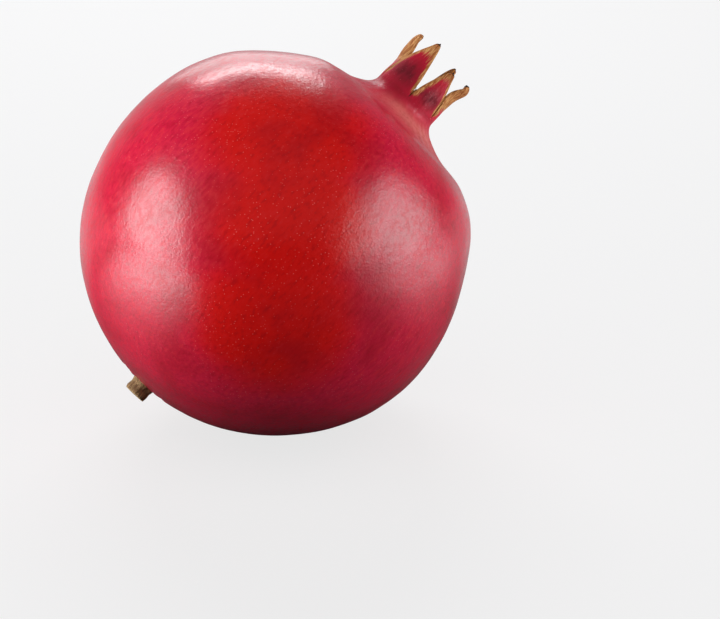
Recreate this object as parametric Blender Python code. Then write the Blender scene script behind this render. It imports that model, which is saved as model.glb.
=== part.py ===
"""A whole pomegranate as picked, lying on a small flat spot with its crown up and to one side.

Three pieces: the fruit, whose rind carries on into the crown's tube and six sepals; the tuft of dried stamens
in the crown's cup; and the stub of the cut stem at the other end. Metres, +Z up, the origin in the middle of
the flat spot. Each piece is modelled upright about the fruit's own axis, with the crown at +Z and the middle
of the fruit at 0, and an empty then leans all three.
"""

import math
import random
from typing import NamedTuple

import bmesh
import bpy
from mathutils import Vector

MM = 0.001

# The body, measured from the middle of the fruit
EQUATOR_RADIUS = 46.0 * MM
STEM_END_REACH = 45.3 * MM
FLAT_SPOT_DEPTH = 1.0 * MM
BODY_STEP = math.radians(6.0)

# The dimple that the stem sits in
DIMPLE_DEPTH = 1.7 * MM
DIMPLE_FLOOR_RADIUS = 3.6 * MM
DIMPLE_RIM_RADIUS = 8.0 * MM

# The shoulder, where the body slopes gently up to the neck: (radius, height) and slope
SHOULDER = (24.4 * MM, 39.0 * MM, math.radians(32.0))
NECK_FOOT = (14.5 * MM, 41.5 * MM, math.radians(13.0))

# The crown's tube ends at the notches between the sepals
TUBE_RADIUS = 8.4 * MM
NOTCH_HEIGHT = 46.2 * MM
TUBE_WALL = 2.0 * MM
CUP_FLOOR_HEIGHT = 40.6 * MM
CUP_FLOOR_RADIUS = 5.2 * MM

# The crown stands a little to one side of the fruit's axis
CROWN_OFFSET = Vector((0.0, -0.5 * MM, 0.0))
CROWN_OFFSET_FROM = 41.0 * MM
CROWN_OFFSET_TO = 46.0 * MM

# How far the skin stands out from a turned shape: soft ridges below the sepals, slow swellings, a shoulder
# that is fuller on one side, and a hollow round the neck; each of the last two has a height, its angle from
# the stem end and its spread. They fade out towards the two ends, by their distance from the axis
RIDGE_HEIGHT = 0.25 * MM
RIDGE_TURN = math.radians(3.0)
STEM_FADE = (0.0, 0.5)
NECK_FADE = (0.18, 0.40)
FULLER_SHOULDER = (0.95 * MM, math.radians(139.0), math.radians(12.0))
NECK_HOLLOW = (-0.75 * MM, math.radians(154.0), math.radians(10.0))
SWELLINGS = (  # (height, waves round, turn, waves from end to end, shift)
    (0.35 * MM, 2, math.radians(40.0), 1.0, 0.4),
    (0.40 * MM, 3, math.radians(35.0), 4.2, -2.9),
    (0.18 * MM, 5, math.radians(65.0), 2.3, 2.0),
)


class Sepal(NamedTuple):
    """The shape of one sepal, in degrees and millimetres."""

    start: float  # where it starts round the tube
    length: float
    lean: float  # outwards, at half its length
    upper_lean: float  # outwards, just below the tip
    hook: float  # outwards, at the tip itself
    twist: float
    drift: float  # sideways, at the tip
    tip_width: float
    breadth: float  # how long it stays broad before it tapers


SEPALS = (
    Sepal(-70.0, 14.2, -9.0, -8.0, 8.0, 8.0, 1.5, 0.9, 1.8),
    Sepal(3.0, 11.4, -9.0, -8.0, 12.0, -10.0, 0.5, 1.0, 1.8),
    Sepal(62.0, 12.8, -6.0, 28.0, -40.0, -30.0, 0.0, 2.0, 0.8),
    Sepal(122.0, 13.8, -9.0, -8.0, 25.0, -8.0, 0.0, 1.2, 1.8),
    Sepal(182.0, 13.0, -6.0, 2.0, -20.0, 12.0, -0.3, 1.6, 1.4),
    Sepal(232.0, 14.0, -2.0, 4.0, -25.0, 40.0, 0.3, 2.2, 1.1),
)
SEPAL_COLUMNS = 10
SEPAL_ROWS = 9
SEPAL_SLIT = 0.35 * MM
SEPAL_SLIT_REACH = 0.1
SEPAL_TIP_CURVE_RADIUS = 5.5 * MM
SEPAL_TIP_THICKNESS = 0.9 * MM
SEPAL_EDGE_SHARE = 0.55
SEPAL_EDGE_FROM = 0.3
SEPAL_TWIST_SPAN = (0.1, 0.7)
HOOK_FROM = 0.78

# The stamens stand in a cushion on the floor of the cup
CUSHION_RADIUS = 4.4 * MM
CUSHION_BASE_HEIGHT = 41.4 * MM
CUSHION_TOP_HEIGHT = 43.4 * MM
STAMEN_COUNT = 38
STAMEN_SIDES = 4
STAMEN_SPREAD = 3.6 * MM
STAMEN_RADIUS = 0.28 * MM
ANTHER_RADIUS = 0.55 * MM
ANTHER_LENGTH = 1.2 * MM
STAMEN_REACH = (6.0 * MM, 9.0 * MM)
STAMEN_LEAN = (0.05, 0.15)
STAMEN_LEAN_SPREAD = 0.06
STAMEN_SWAY = 0.6 * MM
STAMEN_ROOT_DEPTH = 0.9 * MM
STYLE_REACH = 10.5 * MM
STYLE_RADIUS = 0.5 * MM
STIGMA_RADIUS = 0.9 * MM
GOLDEN_ANGLE = math.radians(137.508)
SEED = 11

# The stub of the stem, cut a little askew, stands just clear of the dimple's floor; its outline is (share
# of its length, share of its radius)
STUB_RADIUS = 3.0 * MM
STUB_CLEARANCE = 0.3 * MM
STUB_BASE_HEIGHT = -(STEM_END_REACH - DIMPLE_DEPTH + STUB_CLEARANCE)
STUB_LENGTH = 4.6 * MM
STUB_OUTLINE = ((0.0, 1.10), (0.25, 1.02), (0.55, 0.92), (0.85, 0.96), (1.0, 0.90))
STUB_RIBS = 5
STUB_RIB_SHARE = 0.05
STUB_CUT_SLOPE = 0.16
STUB_SIDES = 25

# How the fruit lies: turned so that angles round its axis start at the front, then leaned with the crown to
# the right, then rolled back
FRONT_TURN = math.radians(-90.0)
CROWN_LEAN = math.radians(43.0)
ROLL_BACK = math.radians(20.0)
CENTRE_HEIGHT = EQUATOR_RADIUS - FLAT_SPOT_DEPTH

# Finishes: name, sRGB colour, roughness
RIND = ("leathery_red_rind", (0.70, 0.05, 0.06), 0.35)
DRY_STAMEN = ("dry_stamen", (0.62, 0.42, 0.22), 0.8)
WOODY_STEM = ("woody_stem", (0.45, 0.33, 0.20), 0.85)


def clear_scene():
    for obj in list(bpy.data.objects):
        bpy.data.objects.remove(obj, do_unlink=True)


def smooth_step(low, high, value):
    """0 below low, 1 above high, with a soft start and end between them."""
    share = min(1.0, max(0.0, (value - low) / (high - low)))
    return share * share * (3.0 - 2.0 * share)


def blend(first, second, share):
    return first + (second - first) * share


def hermite(start, end, share):
    """A point (radius, height) on the smooth curve that climbs inwards from one (radius, height, slope) to
    another."""
    first, last = Vector(start[:2]), Vector(end[:2])
    pull = (last - first).length
    leave, arrive = (Vector((-math.cos(place[2]), math.sin(place[2]))) * pull for place in (start, end))
    s2, s3 = share**2, share**3
    point = first * (2 * s3 - 3 * s2 + 1) + leave * (s3 - 2 * s2 + share)
    point += last * (3 * s2 - 2 * s3) + arrive * (s3 - s2)
    return tuple(point)


def set_aside(point):
    """A point of the neck or the crown, moved with the crown to one side of the axis."""
    return point + CROWN_OFFSET * smooth_step(CROWN_OFFSET_FROM, CROWN_OFFSET_TO, point.z)


def body_point(polar):
    """(radius, height) of the round body at an angle measured from the stem end, with the stem's dimple."""
    reach = STEM_END_REACH if polar < math.pi / 2 else EQUATOR_RADIUS
    radius = EQUATOR_RADIUS * math.sin(polar)
    dimple = DIMPLE_DEPTH * (1.0 - smooth_step(DIMPLE_FLOOR_RADIUS, DIMPLE_RIM_RADIUS, radius))
    return radius, -reach * math.cos(polar) + dimple


def outer_profile():
    """The rind's turned outline from just off the stem end to just below the notches."""
    shoulder_polar = math.pi - math.asin(SHOULDER[0] / EQUATOR_RADIUS)
    dimple_polar = math.asin(DIMPLE_RIM_RADIUS / EQUATOR_RADIUS)
    rows = [body_point(dimple_polar * (i + 1) / 5) for i in range(5)]
    count = round((shoulder_polar - dimple_polar) / BODY_STEP)
    rows += [body_point(blend(dimple_polar, shoulder_polar, (i + 1) / count)) for i in range(count)]
    notch = (TUBE_RADIUS, NOTCH_HEIGHT, math.radians(90.0))
    rows += [hermite(SHOULDER, NECK_FOOT, (i + 1) / 4) for i in range(4)]
    rows += [hermite(NECK_FOOT, notch, (i + 1) / 6) for i in range(5)]
    return rows


def swell(turn, radius, height):
    """How far the skin stands out at an angle round the axis: nothing at the two ends."""
    polar = math.atan2(radius, -height)
    aside = math.sin(polar)
    out = RIDGE_HEIGHT * math.cos(len(SEPALS) * (turn - RIDGE_TURN))
    for high, waves, start, along, shift in SWELLINGS:
        out += high * math.cos(waves * (turn - start)) * math.cos(along * polar + shift)
    shoulder, hollow = (
        high * math.exp(-(((polar - middle) / spread) ** 2))
        for high, middle, spread in (FULLER_SHOULDER, NECK_HOLLOW)
    )
    out *= aside * smooth_step(*STEM_FADE, aside)
    return out + smooth_step(*NECK_FADE, aside) * (shoulder * math.sin(turn) + hollow)


def sepal_bounds(index):
    """The angles round the tube where a sepal starts and ends."""
    start = math.radians(SEPALS[index].start)
    after = math.radians(SEPALS[(index + 1) % len(SEPALS)].start)
    return start, after if after > start else after + 2.0 * math.pi


def column_angles():
    """The angle of every column of the crown and the body, with SEPAL_COLUMNS steps to a sepal."""
    angles = []
    for index in range(len(SEPALS)):
        start, end = sepal_bounds(index)
        angles += [blend(start, end, column / SEPAL_COLUMNS) for column in range(SEPAL_COLUMNS)]
    return angles


def sepal_lean(sepal, along):
    """The outward lean of a sepal's middle line, from 0 at the notches to its hooked tip."""
    lean = blend(0.0, sepal.lean, smooth_step(0.0, 0.5, along))
    lean = blend(lean, sepal.upper_lean, smooth_step(0.45, HOOK_FROM, along))
    return math.radians(blend(lean, sepal.hook, smooth_step(HOOK_FROM, 1.0, along)))


def sepal_middle(sepal, along):
    """(radius, height) of a sepal's middle line, added up from its lean in short steps."""
    steps = 24
    stride = sepal.length * MM * along / steps
    radius, height = TUBE_RADIUS, NOTCH_HEIGHT
    for step in range(steps):
        lean = sepal_lean(sepal, along * (step + 0.5) / steps)
        radius += stride * math.sin(lean)
        height += stride * math.cos(lean)
    return radius, height


def sepal_point(index, across, along):
    """(outer point, inner point) of a sepal: across runs from -1 to 1, along from the notches to the tip."""
    sepal = SEPALS[index]
    start, end = sepal_bounds(index)
    radius, height = sepal_middle(sepal, along)
    slit = SEPAL_SLIT * smooth_step(0.0, SEPAL_SLIT_REACH, along)
    full_width = min(TUBE_RADIUS, radius) * (end - start) - slit
    width = blend(full_width, sepal.tip_width * MM, along**sepal.breadth)
    curve_radius = blend(TUBE_RADIUS, SEPAL_TIP_CURVE_RADIUS, along)
    turn = across * width / (2.0 * curve_radius)
    lean = sepal_lean(sepal, along)
    twist = math.radians(sepal.twist) * smooth_step(*SEPAL_TWIST_SPAN, along)

    middle_turn = (start + end) / 2.0
    out = Vector((math.cos(middle_turn), math.sin(middle_turn), 0.0))
    side = Vector((-math.sin(middle_turn), math.cos(middle_turn), 0.0))
    up = Vector((0.0, 0.0, 1.0))
    face = out * math.cos(lean) - up * math.sin(lean)
    face, side_turned = (
        face * math.cos(twist) + side * math.sin(twist),
        side * math.cos(twist) - face * math.sin(twist),
    )
    centre = out * radius + up * height + side * (sepal.drift * MM * along**2)
    outer = (
        centre
        + side_turned * (curve_radius * math.sin(turn))
        - face * (curve_radius * (1.0 - math.cos(turn)))
    )
    normal = face * math.cos(turn) + side_turned * math.sin(turn)
    blade = blend(TUBE_WALL, SEPAL_TIP_THICKNESS, along**0.7)
    blade *= blend(1.0, blend(1.0, SEPAL_EDGE_SHARE, across**4), smooth_step(0.0, SEPAL_EDGE_FROM, along))
    return set_aside(outer), set_aside(outer - normal * blade)


def join_rows(mesh, first, second):
    """Quads between two rows of vertices of the same length."""
    for i in range(len(first) - 1):
        mesh.faces.new((first[i], first[i + 1], second[i + 1], second[i]))


def join_rings(mesh, first, second):
    join_rows(mesh, first + first[:1], second + second[:1])


def fan(mesh, ring, point):
    centre = mesh.verts.new(point)
    for i, vertex in enumerate(ring):
        mesh.faces.new((vertex, ring[(i + 1) % len(ring)], centre))


def turned_ring(mesh, angles, radius, height, swelling=0.0):
    """A ring of vertices; swelling scales how far the skin stands out there."""
    ring = []
    for turn in angles:
        place = Vector((radius * math.cos(turn), radius * math.sin(turn), height))
        place += place.normalized() * swelling * swell(turn, radius, height)
        ring.append(mesh.verts.new(set_aside(place)))
    return ring


def finished(name, mesh, finish):
    """An object made of a bmesh, with its faces pointing out, its round parts smooth and its material."""
    bmesh.ops.recalc_face_normals(mesh, faces=mesh.faces)
    data = bpy.data.meshes.new(name)
    mesh.to_mesh(data)
    mesh.free()
    data.shade_smooth()
    data.set_sharp_from_angle(angle=math.radians(50.0))
    data.materials.append(finish)
    obj = bpy.data.objects.new(name, data)
    bpy.context.scene.collection.objects.link(obj)
    return obj


def material(name, colour, roughness):
    made = bpy.data.materials.new(name)
    made.use_nodes = True
    shader = made.node_tree.nodes["Principled BSDF"]
    linear = [((c + 0.055) / 1.055) ** 2.4 if c > 0.04045 else c / 12.92 for c in colour]
    shader.inputs["Base Color"].default_value = (*linear, 1.0)
    shader.inputs["Roughness"].default_value = roughness
    shader.inputs["Metallic"].default_value = 0.0
    return made


def add_sepal(mesh, index, outer_ring, inner_ring):
    """One sepal's two faces and its edges, growing from the rings at the notches."""
    first = index * SEPAL_COLUMNS
    count = len(outer_ring)
    places = [(first + column) % count for column in range(SEPAL_COLUMNS + 1)]
    outer = [[outer_ring[p] for p in places]]
    inner = [[inner_ring[p] for p in places]]
    for row in range(1, SEPAL_ROWS + 1):
        pairs = [
            sepal_point(index, 2.0 * column / SEPAL_COLUMNS - 1.0, row / SEPAL_ROWS)
            for column in range(SEPAL_COLUMNS + 1)
        ]
        outer.append([mesh.verts.new(pair[0]) for pair in pairs])
        inner.append([mesh.verts.new(pair[1]) for pair in pairs])
    for row in range(SEPAL_ROWS):
        join_rows(mesh, outer[row], outer[row + 1])
        join_rows(mesh, inner[row], inner[row + 1])
        for edge in (0, -1):
            mesh.faces.new(
                (outer[row][edge], outer[row + 1][edge], inner[row + 1][edge], inner[row][edge])
            )
    join_rows(mesh, outer[-1], inner[-1])


def add_cup(mesh, angles, inner_ring):
    """The inside of the tube, from the notches down to the cup's floor."""
    steps = 4
    above = inner_ring
    for step in range(1, steps + 1):
        share = step / steps
        radius = blend(TUBE_RADIUS - TUBE_WALL, CUP_FLOOR_RADIUS, share)
        ring = turned_ring(mesh, angles, radius, blend(NOTCH_HEIGHT, CUP_FLOOR_HEIGHT, share))
        join_rings(mesh, above, ring)
        above = ring
    fan(mesh, above, (0.0, 0.0, CUP_FLOOR_HEIGHT))


def make_fruit(finish):
    """The rind and its crown, one closed skin: up the outside, over the sepals and down into the cup."""
    mesh = bmesh.new()
    angles = column_angles()
    rows = [turned_ring(mesh, angles, radius, height, 1.0) for radius, height in outer_profile()]
    for below, above in zip(rows, rows[1:]):
        join_rings(mesh, below, above)
    fan(mesh, rows[0], (0.0, 0.0, body_point(0.0)[1]))

    pairs = [
        sepal_point(index, 2.0 * column / SEPAL_COLUMNS - 1.0, 0.0)
        for index in range(len(SEPALS))
        for column in range(SEPAL_COLUMNS)
    ]
    outer_ring = [mesh.verts.new(pair[0]) for pair in pairs]
    inner_ring = [mesh.verts.new(pair[1]) for pair in pairs]
    join_rings(mesh, rows[-1], outer_ring)
    for index in range(len(SEPALS)):
        add_sepal(mesh, index, outer_ring, inner_ring)
    add_cup(mesh, angles, inner_ring)
    return finished("fruit", mesh, finish)


def add_tube(mesh, path, radii, sides):
    """A closed tube along a path of points, with a radius at each."""
    rings = []
    for i, (point, radius) in enumerate(zip(path, radii)):
        ahead = path[min(i + 1, len(path) - 1)] - path[max(i - 1, 0)]
        across = ahead.orthogonal().normalized()
        other = ahead.cross(across).normalized()
        corners = [2.0 * math.pi * k / sides for k in range(sides)]
        rings.append(
            [mesh.verts.new(point + radius * (across * math.cos(c) + other * math.sin(c))) for c in corners]
        )
    for below, above in zip(rings, rings[1:]):
        join_rings(mesh, below, above)
    mesh.faces.new(rings[0])
    mesh.faces.new(rings[-1])


def add_cushion(mesh):
    """The low dome that the stamens are rooted in."""
    sides = 20
    profile = ((1.0, 0.0), (1.0, 0.35), (0.8, 0.75), (0.4, 0.96))
    angles = [2.0 * math.pi * k / sides for k in range(sides)]
    rings = [
        turned_ring(
            mesh, angles, CUSHION_RADIUS * wide, blend(CUSHION_BASE_HEIGHT, CUSHION_TOP_HEIGHT, high)
        )
        for wide, high in profile
    ]
    for below, above in zip(rings, rings[1:]):
        join_rings(mesh, below, above)
    fan(mesh, rings[0], (0.0, 0.0, CUSHION_BASE_HEIGHT))
    fan(mesh, rings[-1], (0.0, 0.0, CUSHION_TOP_HEIGHT))


def add_stamen(mesh, index, draw):
    """One filament, rooted in the cushion and leaning out a little, with its anther on the end."""
    share = math.sqrt((index + 0.6) / STAMEN_COUNT)
    turn = index * GOLDEN_ANGLE
    out = Vector((math.cos(turn), math.sin(turn), 0.0))
    side = Vector((-math.sin(turn), math.cos(turn), 0.0))
    reach = blend(*STAMEN_REACH, draw.random())
    lean = blend(*STAMEN_LEAN, share) + STAMEN_LEAN_SPREAD * draw.uniform(-1.0, 1.0)
    sway = STAMEN_SWAY * draw.uniform(-1.0, 1.0)
    root = out * STAMEN_SPREAD * share + Vector((0.0, 0.0, CUSHION_TOP_HEIGHT - STAMEN_ROOT_DEPTH))
    heights = (0.0, 0.35, 0.7, 1.0)
    path = [
        root
        + Vector((0.0, 0.0, reach * h))
        + out * (lean * reach * h**1.5)
        + side * (sway * math.sin(math.pi * h))
        for h in heights
    ]
    tip = (path[-1] - path[-2]).normalized()
    path += [path[-1] + tip * ANTHER_LENGTH * 0.5, path[-1] + tip * ANTHER_LENGTH]
    radii = [STAMEN_RADIUS] * len(heights) + [ANTHER_RADIUS, ANTHER_RADIUS * 0.3]
    add_tube(mesh, [set_aside(point) for point in path], radii, STAMEN_SIDES)


def add_style(mesh):
    """The single thicker style in the middle, with its flattened stigma."""
    root = CUSHION_TOP_HEIGHT - STAMEN_ROOT_DEPTH
    heights = (0.0, 0.5, 0.9, 0.96, 1.0)
    path = [Vector((0.5 * MM * h * h, -0.3 * MM * h, root + STYLE_REACH * h)) for h in heights]
    radii = [STYLE_RADIUS, STYLE_RADIUS * 0.8, STYLE_RADIUS * 0.8, STIGMA_RADIUS, STIGMA_RADIUS * 0.6]
    add_tube(mesh, [set_aside(point) for point in path], radii, 6)


def make_stamens(finish):
    """The cushion, the stamens and the style, made one solid by a Boolean union."""
    draw = random.Random(SEED)
    core = bmesh.new()
    add_cushion(core)
    tuft = finished("stamens", core, finish)
    shoots = bpy.data.collections.new("shoots")
    bpy.context.scene.collection.children.link(shoots)
    for index in range(STAMEN_COUNT + 1):
        mesh = bmesh.new()
        if index < STAMEN_COUNT:
            add_stamen(mesh, index, draw)
        else:
            add_style(mesh)
        shoot = finished(f"shoot_{index}", mesh, finish)
        bpy.context.scene.collection.objects.unlink(shoot)
        shoots.objects.link(shoot)

    union = tuft.modifiers.new("rooted", "BOOLEAN")
    union.operation = "UNION"
    union.operand_type = "COLLECTION"
    union.collection = shoots
    bpy.context.view_layer.update()
    evaluated = tuft.evaluated_get(bpy.context.evaluated_depsgraph_get())
    joined = bpy.data.meshes.new_from_object(evaluated)
    tuft.modifiers.clear()
    tuft.data = joined
    for shoot in list(shoots.objects):
        bpy.data.objects.remove(shoot, do_unlink=True)
    bpy.data.collections.remove(shoots)
    return tuft


def make_stem_stub(finish):
    """The stub of the stem, flared where it meets the fruit, ribbed, and cut a little askew."""
    mesh = bmesh.new()
    rings = []
    for along, wide in STUB_OUTLINE:
        ring = []
        for k in range(STUB_SIDES):
            turn = 2.0 * math.pi * k / STUB_SIDES
            radius = STUB_RADIUS * wide * (1.0 + STUB_RIB_SHARE * math.cos(STUB_RIBS * turn) * (1.0 - along))
            height = STUB_BASE_HEIGHT - STUB_LENGTH * along
            height += STUB_CUT_SLOPE * radius * math.cos(turn) * along
            ring.append(mesh.verts.new((radius * math.cos(turn), radius * math.sin(turn), height)))
        rings.append(ring)
    for below, above in zip(rings, rings[1:]):
        join_rings(mesh, below, above)
    mesh.faces.new(rings[0])
    mesh.faces.new(rings[-1])
    return finished("stem_stub", mesh, finish)


def add_flat_spot(fruit):
    """Cuts the fruit's underside level with the surface that it lies on."""
    size = 4.0 * EQUATOR_RADIUS
    mesh = bmesh.new()
    bmesh.ops.create_cube(mesh, size=size)
    bmesh.ops.translate(mesh, verts=mesh.verts, vec=(0.0, 0.0, -size / 2.0))
    data = bpy.data.meshes.new("surface_below")
    mesh.to_mesh(data)
    mesh.free()
    cutter = bpy.data.objects.new("surface_below", data)
    bpy.context.scene.collection.objects.link(cutter)
    cutter.hide_render = True
    cutter.display_type = "WIRE"
    cut = fruit.modifiers.new("flat_spot", "BOOLEAN")
    cut.operation = "DIFFERENCE"
    cut.object = cutter


def main():
    clear_scene()
    fruit = make_fruit(material(*RIND))
    stamens = make_stamens(material(*DRY_STAMEN))
    stem_stub = make_stem_stub(material(*WOODY_STEM))

    axis = bpy.data.objects.new("fruit_axis", None)
    bpy.context.scene.collection.objects.link(axis)
    axis.location = (0.0, 0.0, CENTRE_HEIGHT)
    axis.rotation_mode = "ZYX"
    axis.rotation_euler = (-ROLL_BACK, CROWN_LEAN, FRONT_TURN)
    for piece in (fruit, stamens, stem_stub):
        piece.parent = axis
    add_flat_spot(fruit)


main()
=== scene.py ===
"""The looks of a whole pomegranate as picked, lying with its crown up and to one side.

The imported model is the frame. Each of its three pieces is made again here, finer, from the same forms, and
dressed: the rind with its crown of six sepals, the tuft of dried stamens in the crown's cup, and the woody
stub of the stem. Sizes are in metres, and each form is drawn upright about the fruit's own axis, with the
crown at +Z and the middle of the fruit at 0, before FruitAxis lays it down.
"""

import logging
import math
from dataclasses import dataclass, field
from enum import Enum
from functools import partial
from typing import Any, Sequence

import bmesh
import bpy
import numpy as np
from mathutils import Euler, Matrix, Vector, noise


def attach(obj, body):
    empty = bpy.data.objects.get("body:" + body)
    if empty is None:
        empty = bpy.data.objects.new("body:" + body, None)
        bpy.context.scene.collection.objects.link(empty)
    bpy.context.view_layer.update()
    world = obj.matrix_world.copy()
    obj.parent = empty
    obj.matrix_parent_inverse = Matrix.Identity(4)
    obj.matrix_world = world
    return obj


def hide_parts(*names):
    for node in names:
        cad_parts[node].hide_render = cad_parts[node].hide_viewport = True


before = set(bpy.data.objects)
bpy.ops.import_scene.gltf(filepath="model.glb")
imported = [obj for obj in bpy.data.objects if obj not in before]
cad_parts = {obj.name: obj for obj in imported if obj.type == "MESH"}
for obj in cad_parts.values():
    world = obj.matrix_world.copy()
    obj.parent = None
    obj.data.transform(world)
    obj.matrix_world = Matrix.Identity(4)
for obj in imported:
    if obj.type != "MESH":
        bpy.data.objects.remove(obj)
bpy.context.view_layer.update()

Span = tuple[float, float]

MM = 0.001
TINY = 1e-9  # keeps a length from being 0 before a division
BODY = "root"
LOG = logging.getLogger("pomegranate")
SOFT = {"interpolation_type": "SMOOTHSTEP"}  # makes a range rise with a soft start and end


def linear(colour: str) -> tuple[float, float, float, float]:
    """Turns an sRGB hex colour to linear.

    Args:
        colour: The colour as "#rrggbb".

    Returns:
        Red, green and blue from 0 to 1 in linear light, and 1 for alpha.
    """
    parts = [int(colour[i : i + 2], 16) / 255.0 for i in (1, 3, 5)]
    light = [((c + 0.055) / 1.055) ** 2.4 if c > 0.04045 else c / 12.92 for c in parts]
    return (*light, 1.0)


def per(size: float) -> float:
    """The scale that gives a texture a feature of this size, in metres."""
    return 1.0 / size


def smooth_step(low: float, high: float, value: np.ndarray | float) -> np.ndarray:
    """Rises from 0 to 1 with a soft start and end.

    Args:
        low: Where it starts to rise.
        high: Where it reaches 1.
        value: The values to look up.

    Returns:
        The height of the step at each value.
    """
    share = np.clip((np.asarray(value, float) - low) / (high - low), 0.0, 1.0)
    return share * share * (3.0 - 2.0 * share)


def mixed(first: Any, second: Any, share: Any) -> Any:
    """The value that lies that share of the way from first to second."""
    return first + (second - first) * share


def hump(value: np.ndarray, middle: float, spread: float) -> np.ndarray:
    """A bell of height 1 round a middle value."""
    return np.exp(-(((value - middle) / spread) ** 2))


def grain(points: np.ndarray, size: float | Sequence[float], seed: float = 0.0) -> np.ndarray:
    """Smooth random relief between about -1 and 1, the same in each run.

    Args:
        points: Places, with x, y and z last.
        size: The size of the lumps, in the points' units, or one for each direction.
        seed: Moves the pattern, so that two layers differ.

    Returns:
        A height at each place.
    """
    flat = (points / np.asarray(size, float)).reshape(-1, 3) + seed
    heights = [noise.noise(Vector(place)) for place in flat]
    return np.array(heights).reshape(points.shape[:-1])


def ring_turns(count: int) -> np.ndarray:
    """A row of angles, spread evenly round a ring."""
    return np.linspace(0.0, 2.0 * math.pi, count, endpoint=False)[None, :]


def around(radius: Any, turn: np.ndarray, height: Any) -> np.ndarray:
    """Places round the upright axis, with x, y and z last."""
    places = (radius * np.cos(turn), radius * np.sin(turn), height + 0.0 * turn)
    return np.stack(np.broadcast_arrays(*places), axis=-1)


def on_axis(height: float) -> np.ndarray:
    """A place on the upright axis."""
    return np.array([0.0, 0.0, height])


def add_node(tree: bpy.types.NodeTree, kind: str, inputs: dict[Any, Any], **settings: Any) -> bpy.types.Node:
    """Adds a node with its settings, its values and its links.

    Args:
        tree: The node tree that it joins.
        kind: The node's type.
        inputs: Input name or number, to a value or to the output that it is linked from.
        **settings: The node's own properties.

    Returns:
        The new node.
    """
    node = tree.nodes.new(kind)
    for name, value in settings.items():
        setattr(node, name, value)
    for key, value in inputs.items():
        if isinstance(value, bpy.types.NodeSocket):
            tree.links.new(value, node.inputs[key])
        else:
            node.inputs[key].default_value = value
    return node


def new_material(name: str) -> tuple[bpy.types.Material, bpy.types.NodeTree, bpy.types.Node]:
    """A material with a node tree and its shader.

    Args:
        name: The material's name.

    Returns:
        The material, its tree and its Principled BSDF.
    """
    made = bpy.data.materials.new(name)
    made.use_nodes = True
    return made, made.node_tree, made.node_tree.nodes["Principled BSDF"]


def painted(tree: bpy.types.NodeTree, ground: Any, coats: Sequence[tuple[Any, Any]]) -> Any:
    """Lays coats of colour over a ground.

    Args:
        tree: The node tree.
        ground: The colour underneath, a value or an output.
        coats: For each coat, how strong it is and its colour, as values or outputs.

    Returns:
        The output that carries the finished colour.
    """
    colour = ground
    for strength, over in coats:
        coat = add_node(tree, "ShaderNodeMix", {0: strength, 6: colour, 7: over}, data_type="RGBA")
        colour = coat.outputs[2]
    return colour


@dataclass
class FruitAxis:
    """How the fruit lies, and how its crown stands a little to one side of its axis."""

    centre_height: float = 45.0 * MM
    front_turn: float = math.radians(-90.0)
    crown_lean: float = math.radians(43.0)
    roll_back: float = math.radians(20.0)
    crown_offset: float = -0.5 * MM
    offset_from: float = 41.0 * MM
    offset_to: float = 46.0 * MM

    def matrix(self) -> Matrix:
        """The turn and the place that lay the upright fruit down."""
        turn = Euler((-self.roll_back, self.crown_lean, self.front_turn), "ZYX")
        return Matrix.Translation((0.0, 0.0, self.centre_height)) @ turn.to_matrix().to_4x4()

    def set_aside(self, points: np.ndarray) -> np.ndarray:
        """Moves points of the neck and the crown with the crown to one side.

        Args:
            points: Places with x, y and z last.

        Returns:
            The moved places.
        """
        moved = points.copy()
        moved[..., 1] += self.crown_offset * smooth_step(self.offset_from, self.offset_to, points[..., 2])
        return moved

    def upright(self, tree: bpy.types.NodeTree) -> Any:
        """Coordinates upright about the fruit's axis, for a material's patterns.

        Args:
            tree: The material's node tree.

        Returns:
            The output that carries them.
        """
        place, turn, _ = self.matrix().decompose()
        where = add_node(tree, "ShaderNodeTexCoord", {}).outputs["Object"]
        inputs = {"Vector": where, "Location": place, "Rotation": turn.to_euler("XYZ")}
        return add_node(tree, "ShaderNodeMapping", inputs, vector_type="TEXTURE").outputs["Vector"]


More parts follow.
